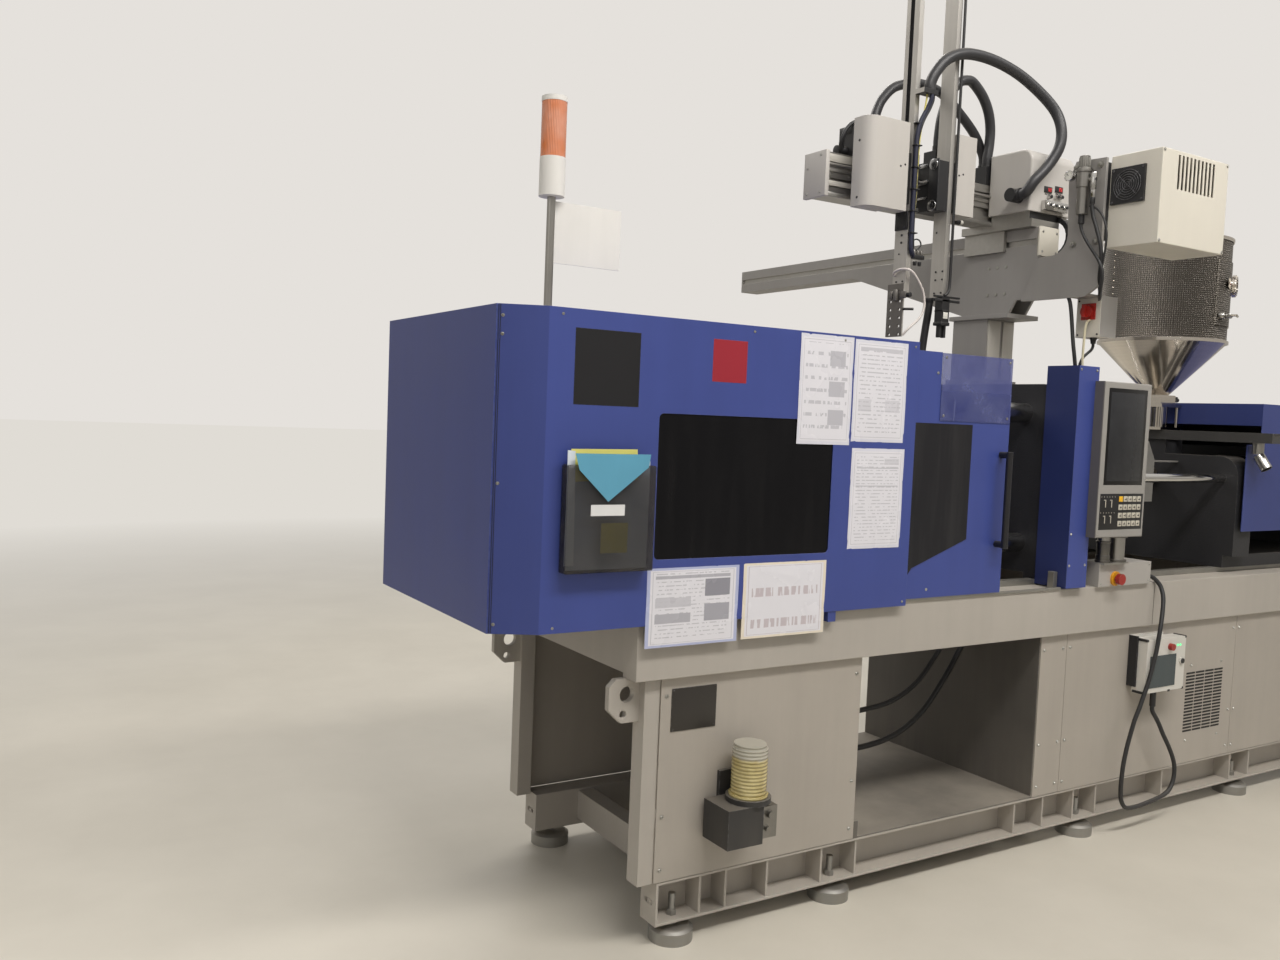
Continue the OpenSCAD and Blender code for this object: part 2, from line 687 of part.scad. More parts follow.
// Crosshead on the two guide rods, with the clamp screw's nut
crosshead_x = support_face_x + 20;
module crosshead() {
    color([0.36, 0.36, 0.38]) difference() {
        block([crosshead_x, crosshead_x + 50], [-150, 150], [axis_h - 33, axis_h + 33]);
        for (y = [-120, 120]) rod_x([crosshead_x - 1, crosshead_x + 51], y, axis_h, 15 + run);
        rod_x([crosshead_x - 1, crosshead_x + 51], 0, axis_h, clamp_screw_d/2 + run);
    }
}

// Clamp screw with its belt pulley
module clamp_screw() {
    color([0.60, 0.61, 0.63]) {
        rod_x([support_back_x - 70, tip_x - 15], 0, axis_h, clamp_screw_d/2);
        rod_x([support_back_x - 45, support_back_x - 5], 0, axis_h, 55);
    }
}

// Ejector: plate behind the moving platen with two pins through it
ejector_x = moving_back_x - 66;
module ejector() {
    color([0.50, 0.50, 0.52]) {
        block([ejector_x, ejector_x + 20], [-90, 90], [axis_h - 30, axis_h + 30]);
        for (y = [-60, 60]) rod_x([ejector_x + 20, moving_face_x - 30], y, axis_h, 12.5 - run);
    }
}

// Chrome rods that pull the nozzle to the mould
pull_rod_y = 335;
module pull_rods() {
    color([0.80, 0.80, 0.82]) both_sides() rod_x([platen_back_x, 1235], -pull_rod_y, axis_h + 10, pull_rod_d/2);
    color([0.30, 0.30, 0.32]) both_sides() difference() {
        block([platen_back_x, platen_back_x + 12], [-pull_rod_y - 30, -half_platen + 60],
              [axis_h - 40, axis_h + 60]);
        rod_x([platen_back_x - 1, platen_back_x + 13], -pull_rod_y, axis_h + 10, pull_rod_d/2);
    }
}

// Sliding base of the injection unit, with feed housing, guide rods, drive plate and servo motors
guide_y = 230;
guide_z = 150;
module injection_base() {
    color([0.24, 0.24, 0.26]) {
        block([housing_front_x, 2090], [-half_platen - 30, half_platen + 30], [base_plate_low, base_plate_top]);
        difference() {
            union() {
                facing_end(housing_front_x, housing_back_x - housing_front_x) {
                    soft_rect([-400, 400], [base_plate_top, 1400], 80);
                    translate([-400, base_plate_top]) square([800, 90]);
                }
                block([housing_front_x, housing_back_x], [-80, 80], [1400, hopper_rail_low]);
            }
            rod_x([housing_front_x - 1, housing_back_x + 1], 0, axis_h, barrel_d/2);
            both_sides() rod_x([housing_front_x - 1, housing_back_x + 1], -pull_rod_y, axis_h + 10, pull_rod_d/2 + run);
            rod_z(hopper_x, 0, [axis_h, hopper_rail_low + 1], 25);
        }
        difference() {
            block([drive_plate_x, drive_plate_x + 80], [-half_shroud + sheet_t, half_shroud - sheet_t],
                  [base_plate_top, 1560]);
            for (y = [-guide_y, guide_y]) rod_x([drive_plate_x - 1, drive_plate_x + 81], y, axis_h, 22);
        }
    }
    color([0.62, 0.63, 0.65]) for (y = [-guide_y, guide_y]) {
        for (z = [-guide_z, guide_z])
            rod_x([housing_back_x, drive_plate_x], y, axis_h + z*(z > 0 ? 0.55 : 1), 20);
        rod_x([housing_back_x, drive_plate_x + 80], y, axis_h, 18);
    }
    color([0.09, 0.09, 0.10]) for (y = [-guide_y, guide_y])
        block([drive_plate_x + 80, drive_plate_x + 240], [y - 70, y + 70], [axis_h - 70, axis_h + 70]);
}

// Barrel with nozzle, heater bands and feed opening
module barrel() {
    color([0.45, 0.42, 0.38]) difference() {
        union() {
            rod_x([170, housing_back_x], 0, axis_h, barrel_d/2);
            rod_x([90, 170], 0, axis_h, 30);
            translate([90, 0, axis_h]) rotate([0, -90, 0]) cylinder(r1 = 22, r2 = 10, h = 40, $fn = 48);
            for (x = [200, 390, 580, 770]) rod_x([x, x + 150], 0, axis_h, barrel_d/2 + 8);
        }
        rod_x([130, housing_back_x + 1], 0, axis_h, screw_d/2);
        rod_x([49, 131], 0, axis_h, 3);
        rod_z(hopper_x, 0, [axis_h, axis_h + barrel_d], 25);
    }
}

// Grey hood over the hot barrel, with a slanted end
module barrel_cover() {
    color([0.60, 0.60, 0.60]) {
        both_sides() facing_front(-150, 2)
            polygon([[265, axis_h - 100], [780, axis_h - 100], [780, axis_h + 75], [735, axis_h + 148],
                     [265, axis_h + 148]]);
        block([265, 735], [-150, 150], [axis_h + 148, axis_h + 150]);
        difference() {
            block([267, 269], [-148, 148], [axis_h - 100, axis_h + 148]);
            rod_x([266, 270], 0, axis_h, barrel_d/2 + 8);
        }
        for (y = [-130, 130]) block([735, housing_front_x], [y - 12, y + 12], [axis_h + 65, axis_h + 71]);
    }
}

// Feed screw: shank, core, helical flight and tip
module feed_screw() {
    flight_l = housing_front_x - 200;
    color([0.70, 0.70, 0.72]) {
        rod_x([housing_front_x, pusher_back_x], 0, axis_h, screw_d/2 - run);
        rod_x([190, housing_front_x], 0, axis_h, screw_d/2 - 5);
        translate([200, 0, axis_h]) rotate([0, 90, 0])
            linear_extrude(flight_l, twist = -360*flight_l/screw_d, slices = 240, $fn = 8)
                translate([screw_d/2 - 6.5, 0]) circle(d = 12, $fn = 8);
        translate([190, 0, axis_h]) rotate([0, -90, 0]) cylinder(r1 = screw_d/2 - 6, r2 = 2, h = 30, $fn = 48);
    }
}

// Pusher plate on the guide rods, with the motor that turns the screw
module pusher_plate() {
    color([0.28, 0.28, 0.30]) difference() {
        block([pusher_front_x, pusher_back_x], [-300, 300], [axis_h - 190, axis_h + 140]);
        for (y = [-guide_y, guide_y]) {
            for (z = [-guide_z, guide_z])
                rod_x([pusher_front_x - 1, pusher_back_x + 1], y, axis_h + z*(z > 0 ? 0.55 : 1), 20 + run);
            rod_x([pusher_front_x - 1, pusher_back_x + 1], y, axis_h, 18 + run);
        }
        rod_x([pusher_front_x - 1, pusher_back_x + 1], 0, axis_h, screw_d/2);
    }
    color([0.09, 0.09, 0.10]) rod_x([pusher_back_x + 1, pusher_back_x + 230], 0, axis_h, 95);
    color([0.09, 0.09, 0.10]) rod_x([pusher_back_x, pusher_back_x + 1], 0, axis_h, 95);
}

// Blue injection cover: top, long sides with a lower front part, and both ends
module injection_cover() {
    color([0.24, 0.31, 0.59]) {
        both_sides() facing_front(-half_shroud, sheet_t)
            polygon([[hopper_x - 25, shroud_bottom], [shroud_right_x, shroud_bottom], [shroud_right_x, shroud_top],
                     [shroud_left_x, shroud_top], [shroud_left_x, hopper_rail_low - 8],
                     [hopper_x - 25, hopper_rail_low - 8]]);
        block([shroud_left_x, shroud_right_x], [-half_shroud + sheet_t, half_shroud - sheet_t],
              [shroud_top - sheet_t, shroud_top]);
        block([shroud_left_x, shroud_left_x + sheet_t], [-half_shroud + sheet_t, half_shroud - sheet_t],
              [shroud_top - 90, shroud_top - sheet_t]);
        block([shroud_right_x - sheet_t, shroud_right_x], [-half_shroud + sheet_t, half_shroud - sheet_t],
              [shroud_bottom, shroud_top - sheet_t]);
    }
}

// Cross slide that lets the hopper move to the operator, with its drain chute
chute_y = -450;
module hopper_rail() {
    color([0.30, 0.30, 0.31]) difference() {
        block([hopper_x - 50, hopper_x + 50], [-530, 110], [hopper_rail_low, hopper_rail_top - 12]);
        block([hopper_x - 30, hopper_x + 30], [-440, -90], [hopper_rail_low - 1, hopper_rail_top - 11]);
        rod_z(hopper_x, 0, [hopper_rail_low - 1, hopper_rail_top], 25);
        rod_z(hopper_x, chute_y, [hopper_rail_low - 1, hopper_rail_top], 20);
    }
    color([0.55, 0.55, 0.56]) for (x = [hopper_x - 50, hopper_x + 40])
        block([x, x + 10], [-530, 110], [hopper_rail_top - 12, hopper_rail_top]);
    color([0.60, 0.60, 0.61]) translate([hopper_x, chute_y, hopper_rail_low - 45]) {
        difference() {
            cylinder(r = 22, h = 45);
            translate([0, 0, -1]) cylinder(r = 20, h = 47);
        }
        rotate([-35, 0, 0]) translate([0, 0, -70]) difference() {
            cylinder(r = 22, h = 62);
            translate([0, 0, -1]) cylinder(r = 20, h = 64);
        }
    }
}

// Hopper: foot plate, sight tube with four rods, gate housing, cone and drum
module hopper_shell() {
    color([0.72, 0.71, 0.68]) translate([hopper_x, 0, 0]) difference() {
        union() {
            block([-38, 38], [-75, 75], [throat_low - 11, throat_low]);
            block([-70, 70], [-70, 70], [throat_low, throat_low + 12]);
            rod_z(0, 0, [throat_low + 12, throat_top - 52], 45);
            for (x = [-58, 58], y = [-58, 58]) rod_z(x, y, [throat_low + 12, throat_top - 52], 6);
            block([-70, 70], [-70, 70], [throat_top - 52, throat_top - 38]);
            block([-52, 52], [-52, 52], [throat_top - 38, throat_top]);
            translate([0, 0, throat_top]) rotate_extrude($fn = 96)
                polygon([[40, 0], [40 + hopper_t + 1, 0], [drum_d/2, cone_h], [drum_d/2 + 8, cone_h],
                         [drum_d/2 + 8, cone_h + 12], [drum_d/2, cone_h + 12], [drum_d/2, cone_h + drum_h],
                         [drum_d/2 - hopper_t, cone_h + drum_h], [drum_d/2 - hopper_t, cone_h + 1]]);
        }
        rod_z(0, 0, [throat_low - 12, throat_top + 1], 25);
        rod_z(0, 0, [throat_low + 16, throat_top - 56], 42);
        block([-40, 53], [-40, 40], [throat_top - 24, throat_top - 16]);
        hopper_door_opening();
    }
}
module hopper_door_opening() {
    rotate([0, 0, -65]) translate([drum_d/2 - 60, -110, cone_top + 90]) cube([80, 220, 230]);
}

// Hopper door on the side towards the operator, with a round sight glass and a latch handle
module hopper_door() {
    color([0.74, 0.73, 0.70]) translate([hopper_x, 0, 0]) rotate([0, 0, -65]) {
        difference() {
            intersection() {
                rod_z(0, 0, [cone_top + 70, cone_top + 340], drum_d/2 + 4);
                block([drum_d/2 - 60, drum_d/2 + 10], [-130, 130], [cone_top + 70, cone_top + 340]);
            }
            rod_z(0, 0, [cone_top + 60, cone_top + 350], drum_d/2 + gap);
        }
        rod_x([drum_d/2 - 20, drum_d/2 + 14], 60, cone_top + 250, 42);
        // The hinge and the latch follow the drum's curve
        rod_z(sqrt(pow(drum_d/2, 2) - 130*130) + 8.46, 136, [cone_top + 90, cone_top + 320], 8);
        rod_x([sqrt(pow(drum_d/2, 2) - 110*110) + 2.5, drum_d/2 + 40], -110, cone_top + 110, 5);
        rod_y(drum_d/2 + 40, [-112, -60], cone_top + 110, 5);
    }
}
module hopper_lid() {
    color([0.76, 0.75, 0.72]) translate([hopper_x, 0, drum_top]) {
        cylinder(r = drum_d/2 + 6, h = 8, $fn = 96);
        translate([0, 0, 8]) cylinder(r = 70, h = 60);
    }
}
module hopper_gate() {
    color([0.12, 0.12, 0.13]) {
        block([hopper_x - 38, hopper_x + 82], [-39, 39], [throat_top - 24 + gap, throat_top - 16 - gap]);
        block([hopper_x + 82, hopper_x + 90], [-39, 39], [throat_top - 28, throat_top - 4]);
        rod_x([hopper_x + 90, hopper_x + 150], 0, throat_top - 16, 9);
    }
}

// Operator panel: housing, screen and keypad
panel_y = -500;
module control_panel() {
    color([0.66, 0.65, 0.63]) difference() {
        union() {
            block([panel_x, panel_x + panel_w], [panel_y, -half_cover - gap], [panel_bottom, panel_bottom + panel_h]);
            block([column_cover_x[1] + 6, panel_x + panel_w - 6], [panel_y + 4, panel_y + panel_t],
                  [panel_bottom, panel_bottom + panel_h - 10]);
        }
        block([panel_x + 24, panel_x + panel_w - 24], [panel_y - 1, panel_y + 3],
              [panel_bottom + 185, panel_bottom + panel_h - 22]);
        block([panel_x + 12, panel_x + panel_w - 12], [panel_y - 1, panel_y + 2],
              [panel_bottom + 28, panel_bottom + 155]);
    }
    color([0.05, 0.05, 0.06]) {
        block([panel_x + 24, panel_x + panel_w - 24], [panel_y + 1, panel_y + 3],
              [panel_bottom + 185, panel_bottom + panel_h - 22]);
        block([panel_x + 12, panel_x + panel_w - 12], [panel_y + 1, panel_y + 2],
              [panel_bottom + 28, panel_bottom + 155]);
    }
    color([0.85, 0.85, 0.80]) for (col = [0:4], row = [0:3])
        block([panel_x + 118 + 26*col, panel_x + 138 + 26*col], [panel_y - 1, panel_y + 1],
              [panel_bottom + 40 + 29*row, panel_bottom + 58 + 29*row]);
}

// Box on the bed that carries the panel's two posts, the stop button and the pendant's cord gland
base_box_x = [30, 336];
base_box_top = 1007;
stop_x = base_box_x[0] + 91;
stop_z = bed_top + 28;
module panel_base() {
    color([0.66, 0.65, 0.63]) {
        difference() {
            block(base_box_x, [-half_bed - 14, -half_bed + 100], [bed_top, base_box_top]);
            rod_y(stop_x, [-half_bed - 15, -half_bed + 30], stop_z, 11);
        }
        rod_z(base_box_x[0] + 30, -half_bed - 2, [base_box_top, panel_bottom], 20);
        rod_z(base_box_x[0] + 110, -half_bed - 2, [base_box_top, panel_bottom], 27);
        block([base_box_x[0], base_box_x[0] + 140], [-half_bed - 32, -half_bed + 38], [base_box_top, base_box_top + 6]);
    }
    color([0.85, 0.62, 0.10]) difference() {
        rod_y(stop_x, [-half_bed - 22, -half_bed - 14], stop_z, 26);
        rod_y(stop_x, [-half_bed - 23, -half_bed - 13], stop_z, 11);
    }
    color([0.08, 0.08, 0.08]) rod_x([base_box_x[1], PENDANT_CORD[0].x], PENDANT_CORD[0].y, PENDANT_CORD[0].z, 13);
}
module stop_button() {
    y = -half_bed - 22;
    color([0.70, 0.08, 0.06]) {
        rod_y(stop_x, [y - 24, y - 8], stop_z, 20);
        rod_y(stop_x, [y - 8, y + 40], stop_z, 11 - run);
    }
}

// Grease pump on the left service panel
pump_x = -1560;
pump_y = -half_base - 2;
module grease_pump() {
    color([0.12, 0.12, 0.13]) {
        block([pump_x - 30, pump_x + 60], [pump_y - 12, pump_y], [330, 480]);
        block([pump_x - 80, pump_x + 40], [pump_y - 130, pump_y - 12], [300, 410]);
        rod_z(pump_x + 25, pump_y - 75, [410, 425], 64);
    }
    color([0.60, 0.60, 0.58]) {
        block([pump_x + 40, pump_x + 95], [pump_y - 120, pump_y - 20], [310, 400]);
        rod_y(pump_x + 68, [pump_y - 132, pump_y - 120], 378, 11);
        rod_y(pump_x + 60, [pump_y - 130, pump_y - 120], 338, 8);
    }
}
module grease_reservoir() {
    color([0.85, 0.78, 0.55]) {
        rod_z(pump_x + 25, pump_y - 75, [425, 432], 56);
        rod_z(pump_x + 25, pump_y - 75, [432, 560], 51);
        rod_z(pump_x + 25, pump_y - 75, [560, 572], 46);
    }
}

// Signal tower: pole, three lights and a bare sign plate
tower_x = -2100;
tower_y = -270;
module signal_tower() {
    color([0.80, 0.80, 0.80]) {
        rod_z(tower_x, tower_y, [cover_top, 2030], 11);
        rod_z(tower_x, tower_y, [cover_top, cover_top + 12], 30);
    }
    color([0.92, 0.92, 0.90]) rod_z(tower_x, tower_y, [2030, 2130], 34);
    color([0.10, 0.60, 0.30]) rod_z(tower_x, tower_y, [2130, 2178], 33);
    color([0.90, 0.45, 0.10]) rod_z(tower_x, tower_y, [2178, 2226], 33);
    color([0.80, 0.10, 0.08]) rod_z(tower_x, tower_y, [2226, 2272], 33);
    color([0.92, 0.92, 0.90]) rod_z(tower_x, tower_y, [2272, 2285], 34);
    color([0.90, 0.92, 0.95]) block([tower_x + 11, tower_x + 211], [tower_y - 1.5, tower_y + 1.5], [1860, 2020]);
}

// Clear pocket on the clamp cover with folded documents in it
pocket_x = [-2140, -1883];
pocket_z = [1070, 1330];
module document_pocket() {
    color([0.45, 0.45, 0.46, 0.7]) difference() {
        block(pocket_x, [-half_cover - 38, -half_cover], pocket_z);
        block([pocket_x[0] + 3, pocket_x[1] - 3], [-half_cover - 35, -half_cover - 3], [pocket_z[0] + 3, pocket_z[1] + 1]);
    }
    color([0.35, 0.62, 0.72]) block([pocket_x[0] + 30, pocket_x[1] - 8], [-half_cover - 12, -half_cover - 3],
          [pocket_z[0] + 3, pocket_z[1] + 20]);
}

// Paper notices in clear sleeves on the covers
module notice_sleeves() {
    color([0.88, 0.89, 0.92]) {
        notice([-1876, -1576], [856, 1069], -half_cover - 1);
        notice([-1560, -1260], [858, 1071], -half_cover - 1);
        notice([-1395, -1196], [1408, 1722], -half_cover - 1);
        notice([-1190, -977], [1419, 1719], -half_cover - 1);
        notice([-1183, -970], [1100, 1400], -half_cover - 1);
    }
}
module notice(x, z, y) {
    block(x, [y, y + 1], z);
}

// Robot pedestal on the fixed platen, traverse beam, side plate with curved cut-out, switch box
plate_x = column_x[0] - plate_t;
module robot_frame() {
    color([0.58, 0.58, 0.58]) {
        block([column_x[0] - 10, column_x[1] + 10], [column_y[0] - 15, column_y[1] + 15],
              [platen_high, platen_high + flange_t]);
        difference() {
            block(column_x, column_y, [platen_high + flange_t, pedestal_top - flange_t]);
            block([column_x[0] + plate_t, column_x[1] - plate_t], [column_y[0] + plate_t, column_y[1] - plate_t],
                  [platen_high + flange_t - 1, pedestal_top - flange_t + 1]);
        }
        block([column_x[0] - 10, column_x[1] + 10], [column_y[0] - 100, column_y[1] + 15],
              [pedestal_top - flange_t, pedestal_top]);
        // Deep bracket plates between the pedestal and the traverse beam
        for (x = [column_x[0], column_x[0] + traverse_s - plate_t]) facing_end(x, plate_t)
            polygon([[column_y[0] - 94, pedestal_top], [column_y[1] - 43, pedestal_top], [711, traverse_low],
                     [-260, traverse_low]]);
        // Plate behind the side plate that joins it to the bracket
        facing_end(column_x[0], plate_t) polygon([[-300, 1945], [-150, 1945], [-240, 2088], [-300, 2088]]);
    }
    color([0.60, 0.60, 0.60]) {
        difference() {
            block([column_x[0], column_x[0] + traverse_s], [traverse_y, traverse_y + traverse_l],
                  [traverse_low, traverse_top]);
            block([column_x[0] - 1, column_x[0] + 8], [traverse_y + 10, traverse_y + traverse_l - 10],
                  [traverse_low + 40, traverse_low + 60]);
        }
    }
    side_plate();
    switch_box();
    air_regulator();
}
module side_plate() {
    cut_r = 65;
    color([0.62, 0.62, 0.62]) facing_end(plate_x, plate_t) polygon(concat(
        [[-200, 1937], [-463, 1936], [-508, 1966], [-515, 2040], [controller_y[1], 2395], [-398, 2400], [-372, 2335]],
        [for (a = [180:15:270]) [-316 + cut_r*cos(a), 2153 + cut_r*sin(a)]],
        [[-269, 2088], [-261, 2074]]));
}
module switch_box() {
    color([0.88, 0.87, 0.82]) block([switch_x, switch_x + 90], switch_y, [1805, 1940]);
    color([0.62, 0.62, 0.62]) block([plate_x + plate_t, switch_x + 90], switch_y, [1940, 1946]);
    color([0.70, 0.08, 0.06]) block([switch_x - 3, switch_x], [switch_y[0] + 19, switch_y[1] - 20], [1865, 1921]);
}
module air_regulator() {
    x = plate_x - 25;
    color([0.55, 0.56, 0.56]) {
        rod_z(x, -450, [2210, 2300], 19);
        rod_z(x, -450, [2300, 2350], 24);
        rod_z(x, -450, [2350, 2360], 28);
        rod_z(x, -450, [2360, 2405], 17);
        block([x, plate_x], [-458, -442], [2306, 2340]);
    }
    color([0.12, 0.12, 0.12]) rod_z(x, -450, [2179, 2210], 10);
}

// Robot control box with a fan opening and louvres, and the block that holds it to the side plate
module robot_controller() {
    color([0.88, 0.87, 0.82]) difference() {
        block(controller_x, controller_y, controller_z);
        block([controller_x[0] + sheet_t, controller_x[1] - sheet_t], [controller_y[0] + sheet_t, controller_y[1] + 1],
              [controller_z[0] + sheet_t, controller_z[1] - sheet_t]);
        for (col = [0:9]) block([-54 + 21.5*col, -42 + 21.5*col], [controller_y[0] - 1, controller_y[0] + sheet_t + 1],
              [2276, 2386]);
    }
    color([0.08, 0.08, 0.08]) block([controller_x[0] - 8, controller_x[0]], [-646, -523], [2236, 2355]);
    color([0.62, 0.62, 0.62]) {
        block([controller_x[0] + sheet_t, controller_x[1] - sheet_t], [controller_y[1] - 3, controller_y[1]],
              [controller_z[0] + sheet_t, controller_z[1] - sheet_t]);
        block([plate_x + plate_t, 150], [controller_y[1], controller_y[1] + 10], [2120, 2380]);
    }
}
module main_switch() {
    y = (switch_y[0] + switch_y[1])/2;
    color([0.70, 0.08, 0.06]) {
        rod_x([switch_x - 17, switch_x - 3 - gap], y, switch_z, 22);
        block([switch_x - 31, switch_x - 17], [y - 5, y + 5], [switch_z - 20, switch_z + 20]);
    }
}

// Carriage on the traverse beam, with the kick beam along the machine and its rounded cover
module robot_carriage() {
    color([0.62, 0.62, 0.62]) {
        block([carriage_x[0], carriage_x[1]], carriage_y, [traverse_top + gap, kick_low]);
        block([column_x[0] - 15, column_x[0] - gap], [-110, 75], [traverse_low + 25, traverse_top + gap]);
        difference() {
            block([kick_right_x - kick_l, kick_right_x], kick_y, [kick_low, kick_top]);
            for (z = [kick_low + 28, kick_low + 84])
                block([kick_right_x - kick_l + 20, kick_right_x - 20], [kick_y[0] - 1, kick_y[0] + 10], [z, z + 30]);
        }
    }
    color([0.90, 0.90, 0.88]) {
        block([kick_right_x - kick_l - 15, kick_right_x - kick_l], kick_y, [kick_low, kick_top]);
        facing_end(hood_x[0], hood_x[1] - hood_x[0]) hood_outline();
    }
    color([0.14, 0.14, 0.15]) block([carriage_x[0], carriage_x[1]], [carriage_y[0] + 10, hood_y[1] - 8],
          [kick_low, hood_z[0]]);
    conduit_fittings();
}
module hood_outline() {
    r = 45;
    polygon(concat([[hood_y[1], hood_z[0]], [hood_y[1], hood_z[1]]],
        [for (a = [90:15:180]) [hood_y[0] + r + r*cos(a), hood_z[1] - r + r*sin(a)]],
        [[hood_y[0], hood_z[0]]]));
}
// Elbow on the hood for the main arm's conduit, and the block for the two others
module conduit_fittings() {
    start = CONDUIT_MAIN[0];
    color([0.10, 0.10, 0.10]) {
        rod_x([start.x - 22, hood_x[0]], start.y + 32, start.z, 24);
        rod_y(start.x, [start.y, start.y + 32], start.z, 22);
        block([-215, -140], [-48, 35], [kick_top, 2440]);
        for (p = [CONDUIT_MOTOR, CONDUIT_SUB])
            rod_z(p[len(p) - 1].x, p[len(p) - 1].y, [2440, p[len(p) - 1].z], 19);
    }
}

// Carriages on the kick beam: slider around the arm, white box beside it and motor above the beam
module arm_slider(x, span) {
    color([0.14, 0.14, 0.15]) difference() {
        block(span, [arm_front_y + 2, kick_y[0] - gap], [kick_low - 8, kick_top + 20]);
        block([x - arm_t/2 - gap, x + arm_t/2 + gap], [arm_front_y + 1, arm_front_y + arm_s + gap],
              [kick_low - 9, kick_top + 21]);
    }
}
module carriage_motor(x, y, top, foot, conduit) {
    color([0.10, 0.10, 0.11]) {
        block(foot, [kick_y[0] - gap, y[1]], [kick_top + gap, kick_top + 12]);
        block(x, y, [kick_top + 12, top]);
        rod_z(conduit.x, conduit.y, [top, conduit.z], 20);
    }
}
module main_arm_carriage() {
    arm_slider(main_arm_x, main_slider_x);
    color([0.90, 0.90, 0.88]) {
        block([-925, main_slider_x[0]], [-185, -110], [2185, 2475]);
        block([main_slider_x[0] - 2, -745], [-185, arm_front_y - gap], [2185, 2475]);
    }
    carriage_motor([-780, -705], [-35, 35], 2450, [-860, -700], CONDUIT_MOTOR[0]);
    color([0.10, 0.10, 0.11]) block([-860, -785], [-35, 35], [kick_top + 12, 2480]);
}
module sub_arm_carriage() {
    arm_slider(sub_arm_x, sub_slider_x);
    color([0.90, 0.90, 0.88]) block([sub_slider_x[1], -385], [arm_front_y, kick_y[0] - 5], [2215, 2490]);
    carriage_motor([-480, -405], [-49, 9], 2455, [sub_slider_x[0], -405], CONDUIT_SUB[0]);
}
module arm_profile(x, l) {
    block([x - arm_t/2, x + arm_t/2], [arm_front_y, arm_front_y + arm_s], [arm_low, arm_low + l]);
}
module main_arm() {
    hold = CONDUIT_MAIN[len(CONDUIT_MAIN) - 1];
    side = main_arm_x - arm_t/2;
    color([0.66, 0.66, 0.66]) difference() {
        arm_profile(main_arm_x, main_arm_l);
        block([side - 1, side + 8], [arm_front_y + 24, arm_front_y + 42], [arm_low + 235, arm_low + main_arm_l + 1]);
    }
    // Wrist plate with two rows of holes
    color([0.72, 0.72, 0.72]) difference() {
        block([side - 6, side], [arm_front_y, arm_front_y + 75], [arm_low - 150, arm_low + 30]);
        for (z = [30:28:142], y = [16, 59]) rod_x([side - 7, side + 1], arm_front_y + y, arm_low - z, 5);
    }
    // Bracket that holds the conduit's end
    color([0.12, 0.12, 0.12]) {
        block([side, side + arm_t], [hold.y - 20, arm_front_y], [hold.z - 16, hold.z]);
        block([side + arm_t - 2, hold.x + 20], [hold.y - 20, arm_front_y - 2], [hold.z - 16, hold.z]);
    }
}
module sub_arm() {
    color([0.66, 0.66, 0.66]) arm_profile(sub_arm_x, sub_arm_l);
    color([0.08, 0.08, 0.08]) {
        block([sub_arm_x - 18, sub_arm_x + 18], [arm_front_y - 10, arm_front_y + 24], [arm_low - 90, arm_low]);
        for (s = [-1, 1]) block([sub_arm_x + s*11 - 5, sub_arm_x + s*11 + 5], [arm_front_y - 1, arm_front_y + 15],
              [arm_low - 140, arm_low - 90]);
    }
}

// Hand pendant of the robot, hanging on a bracket on the service panel
module teach_pendant() {
    front = pendant_y[0];
    color([0.10, 0.10, 0.10]) {
        block([pendant_x[0] - 10, pendant_x[1] - 60], [pendant_y[1], -half_base - 2], [pendant_z[0] + 20, pendant_z[1] + 10]);
        block([pendant_x[0] - 10, pendant_x[0] - 2], [pendant_y[1] - 20, pendant_y[1]], [pendant_z[0] + 20, pendant_z[1] + 10]);
        rod_z(PENDANT_CORD[len(PENDANT_CORD) - 1].x, PENDANT_CORD[len(PENDANT_CORD) - 1].y,
              [PENDANT_CORD[len(PENDANT_CORD) - 1].z, pendant_z[0]], 11);
    }
    color([0.88, 0.88, 0.86]) block(pendant_x, pendant_y, pendant_z);
    color([0.30, 0.33, 0.34]) block([pendant_x[0] + 22, pendant_x[1] - 58], [front - 2, front], [pendant_z[0] + 18, pendant_z[1] - 62]);
    color([0.70, 0.08, 0.06]) rod_y(pendant_x[0] + 140, [front - 16, front], pendant_z[1] - 33, 13);
    color([0.80, 0.80, 0.80]) rod_y(pendant_x[1] - 24, [front - 6, front], pendant_z[1] - 92, 13);
}

module pendant_cord() {
    color([0.07, 0.07, 0.08]) swept(PENDANT_CORD, 8, 8);
}
module conduit_main() {
    color([0.16, 0.16, 0.17]) swept(CONDUIT_MAIN, 19, 10);
}
module conduit_motor() {
    color([0.16, 0.16, 0.17]) swept(CONDUIT_MOTOR, 17, 10);
}
module conduit_sub() {
    color([0.16, 0.16, 0.17]) swept(CONDUIT_SUB, 18, 10);
}

bed_frame();
base_frame();
levelling_feet();
bay_liner();
service_panels();
end_cover();
front_cover();
rear_cover();
cover_window();
platen_covers();
guide_rails();
front_door();
front_door_window();
front_door_guard();
front_door_handle();
rear_door();
fixed_platen();
tie_bars();
moving_platen();
toggle_support();
rear_link_upper();
rear_link_lower();
front_link_upper();
front_link_lower();
crosshead();
clamp_screw();
ejector();
pull_rods();
injection_base();
barrel();
barrel_cover();
feed_screw();
pusher_plate();
injection_cover();
hopper_rail();
hopper_shell();
hopper_door();
hopper_lid();
hopper_gate();
control_panel();
panel_base();
stop_button();
grease_pump();
grease_reservoir();
signal_tower();
document_pocket();
notice_sleeves();
robot_frame();
robot_controller();
main_switch();
robot_carriage();
main_arm_carriage();
main_arm();
sub_arm_carriage();
sub_arm();
teach_pendant();
pendant_cord();
conduit_main();
conduit_motor();
conduit_sub();
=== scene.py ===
import math

import bmesh
import bpy
from mathutils import Matrix, Vector


